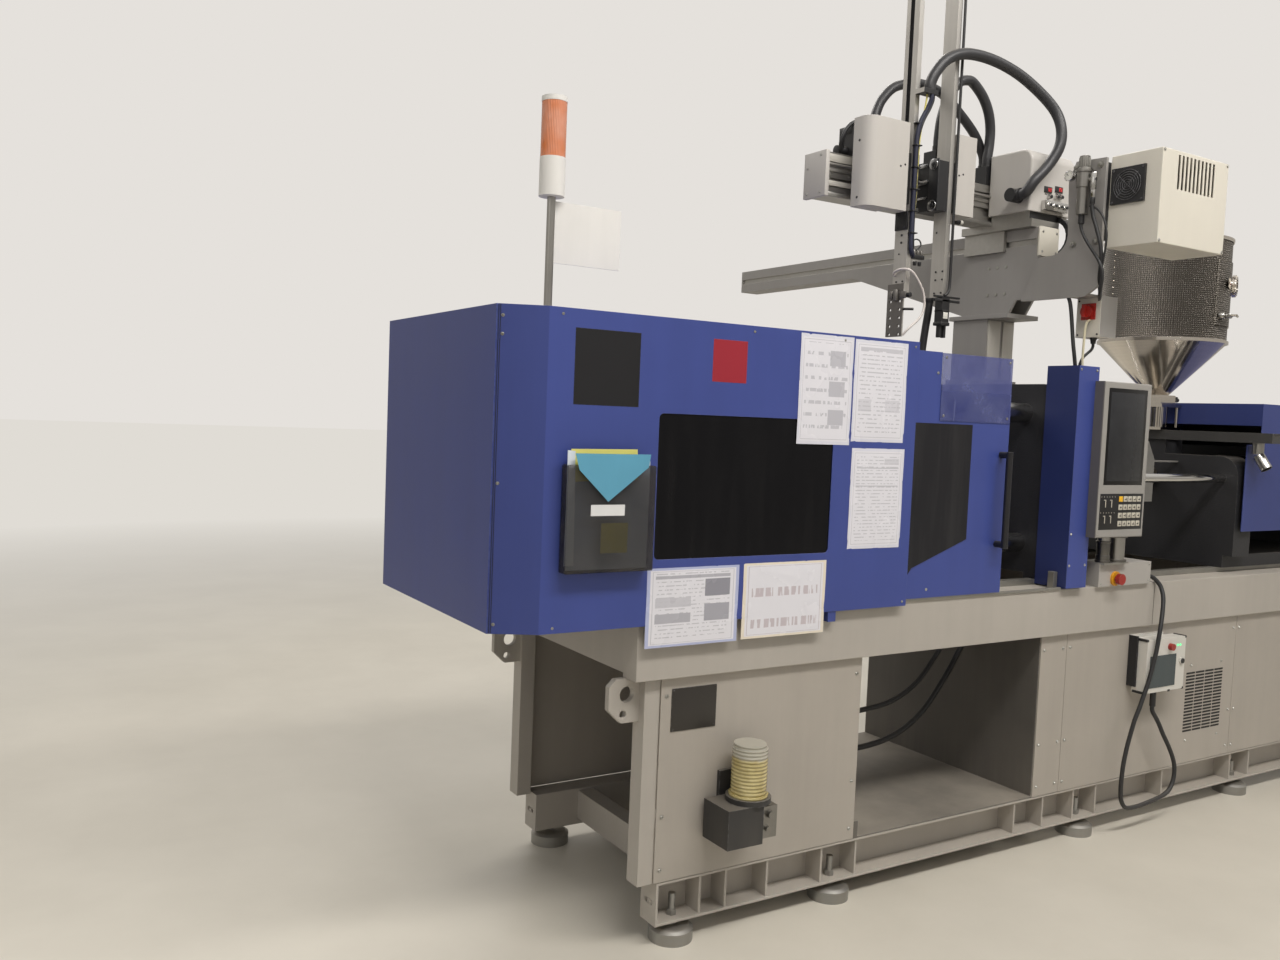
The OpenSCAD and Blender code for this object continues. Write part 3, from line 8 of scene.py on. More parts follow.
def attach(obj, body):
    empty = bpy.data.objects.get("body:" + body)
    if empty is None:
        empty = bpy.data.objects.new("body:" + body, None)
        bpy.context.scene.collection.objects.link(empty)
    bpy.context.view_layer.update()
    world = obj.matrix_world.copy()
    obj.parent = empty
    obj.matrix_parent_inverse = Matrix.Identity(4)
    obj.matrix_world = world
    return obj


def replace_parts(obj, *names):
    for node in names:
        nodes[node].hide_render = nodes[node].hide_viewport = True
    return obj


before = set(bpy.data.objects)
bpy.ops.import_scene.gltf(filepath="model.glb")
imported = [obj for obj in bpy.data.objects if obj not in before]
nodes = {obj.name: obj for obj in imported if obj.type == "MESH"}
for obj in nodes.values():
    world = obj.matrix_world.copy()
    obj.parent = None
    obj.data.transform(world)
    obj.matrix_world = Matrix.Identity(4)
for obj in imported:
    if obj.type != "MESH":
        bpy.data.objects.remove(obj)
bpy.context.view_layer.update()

# Figures of shapes are the CAD's millimetres, and the scene is in metres
MM = 0.001


# Camera
# A hand-held picture from the clamp end, at chest height. Its place in metres, its heading, dip and
# tilt in degrees and its lens are the fitted ones.
def placed(name, data):
    item = bpy.data.objects.new(name, data)
    bpy.context.scene.collection.objects.link(item)
    return item


camera_data = bpy.data.cameras.new("camera")
camera = placed("camera", camera_data)
camera_data.lens = 30.09
camera_data.sensor_width = 36.0
camera_data.clip_end = 200.0
heading, dip, tilt = math.radians(31.55), math.radians(-3.43), math.radians(2.33)
ahead = Vector((math.sin(heading) * math.cos(dip), math.cos(heading) * math.cos(dip), math.sin(dip)))
level = Vector((math.cos(heading), -math.sin(heading), 0.0))
upright = level.cross(ahead)
camera_right = math.cos(tilt) * level + math.sin(tilt) * upright
camera_up = -math.sin(tilt) * level + math.cos(tilt) * upright
stand = Matrix.Identity(4)
stand.col[0][:3] = camera_right
stand.col[1][:3] = camera_up
stand.col[2][:3] = -ahead
stand.col[3][:3] = (-3.360, -2.821, 1.469)
camera.matrix_world = stand
bpy.context.scene.camera = camera


# Cords
# The pendant's cord is a limp rubber-sheathed lead that hangs in a loop. The robot's three conduits are
# stiff black hoses that bow up from the carriage to the arms, with their wires inside.
def srgb(*levels):
    return (*[c / 255 / 12.92 if c < 11 else ((c / 255 + 0.055) / 1.055) ** 2.4 for c in levels], 1.0)


def feed(tree, socket, value):
    if isinstance(value, bpy.types.NodeSocket):
        tree.links.new(value, socket)
    else:
        socket.default_value = value


def add(tree, kind, sockets=None, **settings):
    made = tree.nodes.new("ShaderNode" + kind)
    for key, value in settings.items():
        setattr(made, key, value)
    for key, value in (sockets or {}).items():
        feed(tree, made.inputs[key], value)
    return made


def maths(tree, kind, *values):
    return add(tree, "Math", dict(enumerate(values)), operation=kind).outputs[0]


def noise(tree, place, scale, detail=2.0, roughness=0.5):
    made = add(tree, "TexNoise", {"Vector": place, "Scale": scale, "Detail": detail,
                                  "Roughness": roughness})
    return made.outputs[0]


def stretched(tree, place, scale, turn=0.0):
    return add(tree, "Mapping", {"Vector": place, "Rotation": (0, turn, 0), "Scale": scale}).outputs[0]


def on_object(tree):
    return add(tree, "TexCoord").outputs["Object"]


def along(tree, place):
    return add(tree, "SeparateXYZ", {0: place}).outputs


def scaled(tree, colour, factor):
    return add(tree, "VectorMath", {0: colour, "Scale": factor}, operation="SCALE").outputs[0]


def graded(tree, value, low, high, to_low, to_high):
    made = add(tree, "MapRange", {0: value, 1: low, 2: high, 3: to_low, 4: to_high}, clamp=True)
    return made.outputs[0]


def blended(tree, factor, a, b):
    return add(tree, "Mix", {0: factor, 6: a, 7: b}, data_type="RGBA").outputs[2]


def new_group(name, takes, gives):
    group = bpy.data.node_groups.new(name, "ShaderNodeTree")
    for label, kind, value in takes:
        socket = group.interface.new_socket(label, in_out="INPUT", socket_type="NodeSocket" + kind)
        socket.default_value = value
    for label, kind in gives:
        group.interface.new_socket(label, in_out="OUTPUT", socket_type="NodeSocket" + kind)
    return group, group.nodes.new("NodeGroupInput").outputs, group.nodes.new("NodeGroupOutput").inputs


def new_finish(name):
    material = bpy.data.materials.new(name)
    material.use_nodes = True
    tree = material.node_tree
    return material, tree, tree.nodes["Principled BSDF"]


def drive(tree, shader, **inputs):
    for key, value in inputs.items():
        feed(tree, shader.inputs[key.replace("_", " ")], value)


def relief(tree, shader, height, depth, strength=1.0):
    bump = add(tree, "Bump", {"Height": height, "Distance": depth, "Strength": strength})
    drive(tree, shader, Normal=bump.outputs[0])


def fill_group(tree, group, values):
    made = tree.nodes.new("ShaderNodeGroup")
    made.node_tree = group
    for key, value in values.items():
        made.inputs[key].default_value = value
    return made.outputs


# Age on every coated surface: cloudy tone, drip marks, settled dust and bright rubbed edges
age, age_in, age_out = new_group(
    "age",
    [("Colour", "Color", (0.5, 0.5, 0.5, 1)), ("Roughness", "Float", 0.45), ("Spread", "Float", 0.12),
     ("Dust", "Float", 0.35), ("Wear", "Float", 0.3), ("Worn colour", "Color", (0.6, 0.6, 0.62, 1)),
     ("Grain", "Float", 700.0), ("Shift", "Float", 0.08)],
    [("Colour", "Color"), ("Roughness", "Float"), ("Height", "Float")])
place = on_object(age)
facing = add(age, "NewGeometry")
cloud = noise(age, place, 2.1, 6.0, 0.62)
fine = noise(age, place, age_in["Grain"], 2.0)
drawn = stretched(age, place, (16.0, 16.0, 1.1))
drip = noise(age, drawn, 1.0, 5.0, 0.6)
specks = noise(age, place, 85.0, 4.0)
tone = maths(age, "ADD", graded(age, cloud, 0.3, 0.7, -1.0, 1.0), graded(age, drip, 0.3, 0.75, 0.6, -0.9))
tone = maths(age, "MULTIPLY_ADD", tone, age_in["Shift"], 1.0)
toned = scaled(age, age_in["Colour"], tone)
spot = along(age, facing.outputs["Normal"])[2]
height_up = along(age, place)[2]
lying = graded(age, spot, 0.55, 0.95, 0.0, 1.0)
splash = maths(age, "MULTIPLY", graded(age, height_up, 0.0, 0.45, 0.55, 0.0),
               graded(age, drip, 0.35, 0.65, 0.2, 1.0))
settled = maths(age, "MULTIPLY", lying, graded(age, cloud, 0.3, 0.65, 0.35, 1.0))
dusty = maths(age, "MULTIPLY", maths(age, "MAXIMUM", settled, splash), age_in["Dust"])
rounded = add(age, "Bevel", {"Radius": 0.0025}, samples=4).outputs[0]
bend = add(age, "VectorMath", {0: rounded, 1: facing.outputs["Normal"]}, operation="DOT_PRODUCT").outputs[1]
rubbed = graded(age, bend, 0.995, 0.9, 0.0, 1.0)
rubbed = maths(age, "MULTIPLY", maths(age, "MULTIPLY", rubbed, graded(age, specks, 0.42, 0.58, 0.0, 1.0)),
               age_in["Wear"])
coated = blended(age, dusty, toned, srgb(182, 172, 156))
age.links.new(blended(age, rubbed, coated, age_in["Worn colour"]), age_out["Colour"])
rough = maths(age, "MULTIPLY_ADD", maths(age, "SUBTRACT", cloud, 0.5), age_in["Spread"],
              age_in["Roughness"])
age.links.new(maths(age, "MULTIPLY_ADD", dusty, 0.3, rough), age_out["Roughness"])
age.links.new(fine, age_out["Height"])


def coat(name, colour, roughness, dust=0.1, wear=0.1, worn=(0.55, 0.55, 0.57, 1), grain=700.0, bump=0.00012,
         shift=0.05, metallic=0.0):
    material, tree, shader = new_finish(name)
    aged = fill_group(tree, age, {"Colour": colour, "Roughness": roughness, "Spread": 0.15, "Dust": dust,
                                  "Wear": wear, "Worn colour": worn, "Grain": grain, "Shift": shift})
    drive(tree, shader, Base_Color=aged["Colour"], Roughness=aged["Roughness"], Metallic=metallic)
    relief(tree, shader, aged["Height"], bump)
    return material


# A smooth curve through the points of a route, in metres
def smooth_run(points, steps=5):
    run = []
    ends = [points[0]] + points + [points[-1]]
    for i in range(1, len(ends) - 2):
        p0, p1, p2, p3 = (Vector(ends[i + k]) for k in (-1, 0, 1, 2))
        for s in range(steps):
            t = s / steps
            run.append(0.5 * ((2 * p1) + (p2 - p0) * t + (2 * p0 - 5 * p1 + 4 * p2 - p3) * t * t
                              + (3 * p1 - p0 - 3 * p2 + p3) * t ** 3))
    run.append(Vector(points[-1]))
    return [p * MM for p in run]


rubber = coat("cord_rubber", srgb(34, 34, 36), roughness=0.5, dust=0.12, wear=0.0, grain=900.0, bump=0.0001)
hose_black = coat("conduit_black", srgb(47, 47, 50), roughness=0.42, dust=0.15, wear=0.0, grain=500.0,
                  bump=0.0002)

pendant_route = [
    (346, -430, 950), (356, -430, 950), (374, -438, 943), (387, -450, 927), (392, -462, 907),
    (385, -478, 870), (363, -492, 812), (338, -503, 752), (323, -505, 685), (306, -505, 626),
    (288, -504, 569), (269, -502, 522), (250, -500, 475), (233, -497, 436), (222, -494, 396),
    (207, -491, 339), (195, -489, 278), (190, -488, 221), (190, -488, 172), (195, -489, 135),
    (216, -490, 108), (250, -490, 99), (311, -490, 99), (387, -489, 105), (450, -487, 112),
    (495, -485, 127), (522, -483, 160), (529, -481, 205), (518, -479, 245), (484, -477, 300),
    (450, -475, 345), (419, -474, 390), (398, -472, 418), (382, -471, 436), (376, -470, 450),
    (376, -470, 462)]
main_route = [
    (-230, -224, 2308), (-230, -236, 2308), (-228, -252, 2319), (-213, -266, 2352), (-155, -276, 2414),
    (-120, -288, 2479), (-110, -283, 2544), (-122, -262, 2608), (-178, -236, 2668), (-269, -211, 2722),
    (-382, -192, 2752), (-500, -184, 2750), (-585, -181, 2716), (-632, -175, 2664), (-650, -170, 2622),
    (-650, -170, 2601)]
motor_route = [
    (-735, 0, 2485), (-735, 0, 2510), (-726, 2, 2552), (-696, 4, 2607), (-633, 8, 2660), (-518, 12, 2693),
    (-401, 14, 2680), (-308, 14, 2629), (-222, 12, 2564), (-176, 10, 2500), (-168, 10, 2470),
    (-168, 10, 2455)]
sub_route = [
    (-440, -20, 2480), (-440, -20, 2510), (-434, -22, 2575), (-418, -25, 2634), (-397, -28, 2677),
    (-360, -30, 2718), (-320, -30, 2733), (-288, -30, 2728), (-236, -30, 2690), (-200, -29, 2640),
    (-184, -28, 2584), (-184, -28, 2528), (-190, -28, 2480), (-190, -28, 2455)]


def cord(name, route, radius, skin, body, stiffness="medium", lay="hanging", far_end="object", **more):
    run = smooth_run(route)
    curve = bpy.data.curves.new(name, "CURVE")
    curve.dimensions = "3D"
    curve.bevel_depth = radius * MM
    curve.bevel_resolution = 4
    curve.use_fill_caps = True
    spline = curve.splines.new("POLY")
    spline.points.add(len(run) - 1)
    for point, where in zip(spline.points, run):
        point.co = (*where, 1.0)
    spline.use_smooth = True
    curve.materials.append(skin)
    piece = placed(name, curve)
    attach(piece, body)
    return piece


for name, node, route, radius, body, skin, hold, lay in (
        ("pendant_lead", "pendant_cord", pendant_route, 8, "machine", rubber, "limp", "hanging"),
        ("main_conduit", "conduit_main", main_route, 19, "robot_carriage", hose_black, "stiff", "taut"),
        ("motor_conduit", "conduit_motor", motor_route, 17, "robot_carriage", hose_black, "stiff", "taut"),
        ("sub_conduit", "conduit_sub", sub_route, 18, "robot_carriage", hose_black, "stiff", "taut")):
    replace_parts(cord(name, route, radius, skin, body, hold, lay), node)


# Two hoses that hang through the open bay from one wall to the other
cord("bay_hose_near", [
    (-224, -100, 748), (-262, -100, 744), (-330, -100, 712), (-400, -100, 626), (-486, -100, 543),
    (-600, -100, 492), (-720, -100, 476), (-890, -100, 470), (-1054, -100, 470)], 9, rubber, "machine")
cord("bay_hose_far", [
    (-224, -100, 690), (-256, -100, 664), (-330, -100, 560), (-440, -100, 440), (-560, -100, 372),
    (-700, -100, 344), (-880, -100, 344), (-1054, -100, 360)], 10, rubber, "machine")


# Studio
# A pale concrete-like floor that fades into a pale surround far off, and soft lamps overhead, as under
# a hall's rows of lights.
floor_mesh = bpy.data.meshes.new("floor")
floor_form = bmesh.new()
bmesh.ops.create_grid(floor_form, x_segments=4, y_segments=4, size=60.0)
floor_form.to_mesh(floor_mesh)
floor_form.free()
floor = placed("floor", floor_mesh)
floor_paint, tree, shader = new_finish("floor_paint")
place = on_object(tree)
mottle = noise(tree, place, 1.4, 8.0, 0.6)
shade = blended(tree, graded(tree, mottle, 0.35, 0.65, 0.0, 1.0), srgb(208, 202, 189), srgb(217, 211, 198))
drive(tree, shader, Base_Color=shade, Roughness=0.36)
away = add(tree, "VectorMath", {0: place, 1: (0.3, 0.0, 0.0)}, operation="DISTANCE").outputs[1]
far = maths(tree, "MULTIPLY", graded(tree, away, 4.0, 11.0, 0.0, 1.0),
            add(tree, "LightPath").outputs["Is Camera Ray"])
pale = add(tree, "Emission", {"Color": srgb(224, 220, 213), "Strength": 1.0})
fade = add(tree, "MixShader", {0: far, 1: shader.outputs[0], 2: pale.outputs[0]})
tree.links.new(fade.outputs[0], tree.nodes["Material Output"].inputs[0])
floor.data.materials.append(floor_paint)

world = bpy.data.worlds.new("surround")
bpy.context.scene.world = world
world.use_nodes = True
tree = world.node_tree
tree.nodes.clear()
path = add(tree, "LightPath").outputs
seen = maths(tree, "MAXIMUM", path["Is Camera Ray"], path["Is Transmission Ray"])
up = along(tree, add(tree, "TexCoord").outputs["Generated"])[2]
hall = blended(tree, graded(tree, up, -0.05, 0.6, 0.0, 1.0), srgb(168, 162, 152), srgb(236, 232, 226))
lit = add(tree, "Background", {"Color": srgb(236, 234, 230), "Strength": 0.5})
mirrored = add(tree, "Background", {"Color": hall, "Strength": 0.9})
wall = add(tree, "Background", {"Color": srgb(229, 225, 220), "Strength": 1.0})
first = add(tree, "MixShader", {0: path["Is Glossy Ray"], 1: lit.outputs[0], 2: mirrored.outputs[0]})
second = add(tree, "MixShader", {0: seen, 1: first.outputs[0], 2: wall.outputs[0]})
tree.links.new(second.outputs[0], add(tree, "OutputWorld").inputs[0])


def lamp(name, where, target, width, depth, power):
    light = bpy.data.lights.new(name, "AREA")
    light.shape = "RECTANGLE"
    light.size = width
    light.size_y = depth
    light.energy = power
    light.color = (1.0, 0.97, 0.93)
    holder = placed(name, light)
    holder.location = where
    holder.rotation_euler = (Vector(target) - Vector(where)).to_track_quat("-Z", "Y").to_euler()


lamp("row_over_aisle", (-0.8, -3.2, 5.4), (-0.6, -0.2, 1.0), 5.6, 0.8, 255)
lamp("row_behind", (0.4, 3.6, 5.6), (0.0, 0.2, 1.0), 7.0, 1.2, 150)
lamp("clamp_end_fill", (-5.6, -1.6, 3.6), (-1.6, 0.0, 1.2), 2.4, 1.6, 10)
bpy.context.scene.view_settings.view_transform = "Standard"


# Bed and base
# Bent steel sheet and box beams, welded and sprayed with a pale grey texture coat. Every edge is folded
# or ground, so it catches the light as a thin line.
sharp_turn = math.radians(35)
base_face, cover_face = 420, 460


# A finish for a CAD mesh, with its edges rounded by the given width
def dress(name, material, width=0.0, segments=2):
    part = nodes[name]
    if not part.material_slots:
        part.data.materials.append(material)
    for slot in part.material_slots:
        slot.material = material
    if not width:
        return
    part.modifiers.new("weld", "WELD").merge_threshold = 0.00002
    edge = part.modifiers.new("edge", "BEVEL")
    edge.width = width * MM
    edge.segments = segments
    edge.angle_limit = sharp_turn
    edge.miter_outer = "MITER_ARC"
    part.modifiers.new("shade", "WEIGHTED_NORMAL")


bed_grey = coat("bed_grey", srgb(173, 167, 159), roughness=0.5, dust=0.35, wear=0.25, grain=420.0,
                bump=0.0003, worn=srgb(120, 116, 110), shift=0.045)
panel_grey = coat("panel_grey", srgb(168, 161, 152), roughness=0.52, dust=0.3, wear=0.2, grain=420.0,
                  bump=0.0003, worn=srgb(110, 106, 100), shift=0.05)
# The bay liner's grey is darkened as painted shade inside the open bay
bay_shaded_grey = coat("bay_shaded_grey", srgb(92, 88, 83), roughness=0.6, dust=0.5, wear=0.2, grain=300.0, bump=0.0003,
                shift=0.12)
foot_zinc = coat("foot_zinc", srgb(150, 150, 148), roughness=0.38, dust=0.4, wear=0.2, grain=250.0,
                 metallic=0.85, shift=0.1)
dress("bed_frame", bed_grey, 2.0)
dress("base_frame", bed_grey, 1.5)
dress("levelling_feet", foot_zinc, 1.0)
dress("bay_liner", bay_shaded_grey, 1.0)
dress("service_panels", panel_grey, 0.7)


def ease(form, edges, width, segments=2):
    bmesh.ops.bevel(form, geom=list(edges), offset=width * MM, offset_type="OFFSET", segments=segments,
                    profile=0.5, affect="EDGES", material=-1, clamp_overlap=True)


def slab(form, x, y, z, soft=0.0, segments=2):
    made = bmesh.ops.create_cube(form, size=1.0)["verts"]
    size = [(b - a) * MM for a, b in (x, y, z)]
    centre = [(a + b) / 2 * MM for a, b in (x, y, z)]
    bmesh.ops.scale(form, vec=size, verts=made)
    bmesh.ops.translate(form, vec=centre, verts=made)
    if soft:
        ease(form, {e for v in made for e in v.link_edges}, soft, segments)
    return made


def bar(form, start, end, r, r_end=None, sides=20, soft=0.0, segments=2):
    a, b = Vector(start) * MM, Vector(end) * MM
    made = bmesh.ops.create_cone(form, cap_ends=True, cap_tris=False, segments=sides, radius1=r * MM,
                                 radius2=(r if r_end is None else r_end) * MM,
                                 depth=(b - a).length)["verts"]
    turn = (b - a).to_track_quat("Z", "Y").to_matrix().to_4x4()
    bmesh.ops.transform(form, matrix=Matrix.Translation((a + b) / 2) @ turn, verts=made)
    if soft:
        rims = [e for e in {e for v in made for e in v.link_edges} if len(e.link_faces) == 2
                and any(len(f.verts) > 4 for f in e.link_faces)]
        ease(form, rims, soft, segments)
    return made


def shade_edges(form, turn):
    for face in form.faces:
        face.smooth = True
    for edge in form.edges:
        edge.smooth = len(edge.link_faces) == 2 and edge.calc_face_angle(0.0) < turn


def as_piece(name, form, materials, body):
    mesh = bpy.data.meshes.new(name)
    form.to_mesh(mesh)
    form.free()
    for material in materials:
        mesh.materials.append(material)
    piece = placed(name, mesh)
    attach(piece, body)
    return piece


def finish_piece(name, form, material, body, turn=sharp_turn):
    bmesh.ops.recalc_face_normals(form, faces=form.faces)
    shade_edges(form, turn)
    return as_piece(name, form, [material], body)


def block_piece(name, material, body, x, y, z, soft, segments=2):
    form = bmesh.new()
    slab(form, x, y, z, soft, segments)
    finish_piece(name, form, material, body)


# Panel screws: zinc-plated button heads with a hex socket, each in its own small washer
front = (0, -1, 0)


def button_screw(form, where, out, r):
    axis = Vector(out).normalized()
    at = Vector(where)
    bar(form, at - axis * 1.0, at + axis * 0.8, r * 1.35)
    head = bar(form, at + axis * 0.7, at + axis * (0.7 + r * 0.55), r, r * 0.62)
    top = max({f for v in head for f in v.link_faces}, key=lambda f: f.calc_center_median().dot(axis))
    bmesh.ops.inset_individual(form, faces=[top], thickness=r * 0.00022)
    bmesh.ops.translate(form, vec=-axis * r * 0.0004, verts=top.verts[:])


screw_zinc = coat("screw_zinc", srgb(168, 167, 162), roughness=0.3, dust=0.2, wear=0.0, metallic=0.9,
                  grain=1500.0)
form = bmesh.new()
for x0, x1 in ((-1790, -1058), (-218, -80), (-78, 993), (995, 1560), (1562, 2170)):
    for x in (x0 + 18, x1 - 20):
        for z in (222, 372, 708):
            for side in (-1, 1):
                button_screw(form, (x, side * base_face, z), (0, side, 0), 5.0)
for x, z in ((695, 578), (903, 578), (904, 279), (687, 278)):
    for side in (-1, 1):
        button_screw(form, (x, side * base_face, z), (0, side, 0), 4.5)
finish_piece("panel_screws", form, screw_zinc, "machine")

# Joint of the beam's two face plates, on both sides of the machine
form = bmesh.new()
for side in (-1, 1):
    slab(form, (388, 390), sorted((side * 437, side * 438.4)), (764, 922))
joint_dark = coat("joint_dark", srgb(70, 67, 63), roughness=0.7, dust=0.2, wear=0.0)
finish_piece("beam_joint", form, joint_dark, "machine")

# Cabinet louvres: a black sheet behind the slots and dark strips on each louvre, both painted shade in the
# openings
form = bmesh.new()
for side in (-1, 1):
    slab(form, (652, 928), sorted((side * 415, side * 416.5)), (300, 566))
    for col in range(4):
        for row in range(19):
            x, z = 666 + 64 * col, 313 + 12.8 * row
            slab(form, (x, x + 58), sorted((side * 419.4, side * 420.5)), (z - 1.0, z + 6.4))
louvre_shade_paint = coat("louvre_shade_paint", srgb(26, 25, 25), roughness=0.7, wear=0.0)
finish_piece("louvre_painted_shade", form, louvre_shade_paint, "machine")

# Type plate, left bare: anodised black aluminium with four rivets
form = bmesh.new()
slab(form, (-1756, -1606), (-422.2, -420), (608, 728), 0.5)
for x in (-1750, -1612):
    for z in (614, 722):
        bar(form, (x, -423.2, z), (x, -421, z), 2.2, sides=12, soft=0.5)
plate_black = coat("plate_black", srgb(60, 57, 54), roughness=0.35, wear=0.3, metallic=0.4, grain=900.0)
finish_piece("bare_plate", form, plate_black, "machine")


# Clamp guarding
# Folded two-millimetre sheet in satin blue powder coat, hung on brackets on the bed. The end cover is
# screwed to the long covers' slanted corners.
cover_blue = coat("cover_blue", srgb(58, 72, 140), roughness=0.4, dust=0.22, wear=0.35, grain=520.0,
                  bump=0.00016, worn=srgb(120, 128, 160), shift=0.06)

# Painted shade: the slanted corner and the sheets over the injection unit are darkened to stand in for the
# shade on them, and a dark joint line runs at the column
tree = cover_blue.node_tree
shader = tree.nodes["Principled BSDF"]
painted = shader.inputs["Base Color"].links[0].from_socket
across = along(tree, on_object(tree))[0]
corner_painted_shade = graded(tree, across, -2.189, -2.186, 0.78, 1.0)
to_column = maths(tree, "ABSOLUTE", maths(tree, "ADD", across, 0.162))
column_tone = graded(tree, to_column, 0.0004, 0.0012, 0.5, 1.0)
far_painted_shade = graded(tree, across, 0.9, 1.0, 1.0, 0.72)
painted_shade_and_joint_tone = maths(tree, "MULTIPLY", maths(tree, "MULTIPLY", corner_painted_shade, column_tone), far_painted_shade)
drive(tree, shader, Base_Color=scaled(tree, painted, painted_shade_and_joint_tone))

# A darker copy of the cover blue for the end cover: painted shade on it
shaded_end_blue = coat("shaded_end_blue", srgb(55, 68, 133), roughness=0.4, dust=0.22, wear=0.35, grain=520.0,
                bump=0.00016, worn=srgb(120, 128, 160), shift=0.06)
for name in ("front_cover", "rear_cover", "platen_covers"):
    dress(name, cover_blue, 0.8)
dress("end_cover", shaded_end_blue, 0.8)
rail_steel = coat("rail_steel", srgb(150, 148, 142), roughness=0.35, dust=0.3, wear=0.2, metallic=0.7,
                  grain=200.0, shift=0.1)
dress("guide_rails", rail_steel, 0.8)

# Screws of the end cover on the slanted corners, and of the long covers
end_x, corner_y = -2300, 403
form = bmesh.new()
for z in (940, 1290, 1655, 1700):
    for side in (-1, 1):
        button_screw(form, (end_x + 12, side * (corner_y + 6), z), (-0.45, side * 0.893, 0), 3.2)
for x, z in ((-945, 1712), (-945, 930), (-1230, 1712), (-1560, 1712), (-2150, 1712), (-2150, 930)):
    for side in (-1, 1):
        button_screw(form, (x, side * cover_face, z), (0, side, 0), 2.8)
for x in (-151, -66):
    for z in (1010, 1120, 1690):
        for side in (-1, 1):
            button_screw(form, (x, side * cover_face, z), (0, side, 0), 3.6)
finish_piece("cover_screws", form, screw_zinc, "machine")

# Double seam where the end cover is lapped over the slanted corners
form = bmesh.new()
for side in (-1, 1):
    for reach in (3.0, 7.5):
        x, y = end_x + 0.893 * reach, side * (corner_y + 0.45 * reach)
        bar(form, (x, y, 918), (x, y, 1726), 1.0, sides=8)
seam_dark = coat("seam_dark", srgb(22, 24, 44), roughness=0.6, wear=0.0)
finish_piece("cover_seams", form, seam_dark, "machine")

# Two plain colour fields stuck on the cover's upper part
field_black = coat("field_black", srgb(24, 24, 28), roughness=0.3, grain=1200.0, bump=0.00004)
field_red = coat("field_red", srgb(152, 32, 48), roughness=0.4, grain=1200.0, bump=0.00004)
on_cover = (-cover_face - 0.5, -cover_face)
block_piece("black_field", field_black, "machine",
            (-2114, -1924), on_cover, (1491, 1681), 0.2, 1)
block_piece("red_field", field_red, "machine",
            (-1696, -1582), on_cover, (1569, 1683), 0.2, 1)


# Window of the fixed cover
# Smoked acrylic, bonded behind a black-printed border, so from outside it is a gloss black sheet.
def smoked(name, colour, roughness, spread=0.04, smear=0.02, gloss=0.22):
    material, tree, shader = new_finish(name)
    place = on_object(tree)
    cloud = noise(tree, place, 5.0, 5.0)
    wiped = noise(tree, stretched(tree, place, (30.0, 8.0, 3.0), 0.6), 1.0, 4.0)
    stained = blended(tree, graded(tree, wiped, 0.45, 0.8, 0.0, smear), colour, srgb(150, 148, 145))
    drive(tree, shader, Base_Color=stained, Specular_IOR_Level=gloss,
          Roughness=graded(tree, cloud, 0.3, 0.7, roughness, roughness + spread))
    relief(tree, shader, cloud, 0.0002, 0.2)
    return material


window_gloss = smoked("window_gloss", srgb(12, 12, 16), 0.07, smear=0.012)
dress("cover_window", window_gloss, 1.0)


# Safety doors
# Two sheet doors on rollers, the front one part open. Each has a smoked pane in a cut-out and a black
# tubular handle, and a see-through blue sheet closes the step in the front door's top.
dress("front_door", cover_blue, 0.8)
dress("rear_door", cover_blue, 0.8)
pane_smoke = smoked("pane_smoke", srgb(32, 32, 36), 0.12, 0.06, 0.04, 0.3)
dress("front_door_window", pane_smoke, 0.6)
handle_black = coat("handle_black", srgb(30, 30, 34), roughness=0.32, wear=0.2, grain=900.0)
dress("front_door_handle", handle_black, 1.0)
guard_blue, tree, shader = new_finish("guard_blue")
place = on_object(tree)
haze = noise(tree, place, 7.0, 7.0, 0.65)
scuff = noise(tree, stretched(tree, place, (90.0, 10.0, 6.0), 0.7), 1.0, 3.0)
mark = maths(tree, "MAXIMUM", graded(tree, haze, 0.4, 0.75, 0.0, 0.5),
             graded(tree, scuff, 0.62, 0.8, 0.0, 0.6))
drive(tree, shader, Base_Color=blended(tree, mark, srgb(74, 82, 146), srgb(130, 136, 172)),
      Roughness=graded(tree, haze, 0.3, 0.7, 0.12, 0.3), Alpha=graded(tree, mark, 0.0, 0.6, 0.55, 0.78))
dress("front_door_guard", guard_blue, 0.5)

form = bmesh.new()
for x, z in ((-1150, 1640), (-830, 1640), (-830, 960), (-1150, 960)):
    button_screw(form, (x, -448, z), front, 3.6)
for x, z in ((-800, 1508), (-504, 1508), (-800, 1690), (-504, 1690)):
    button_screw(form, (x, -451, z), front, 3.2)
finish_piece("door_screws", form, screw_zinc, "front_door")


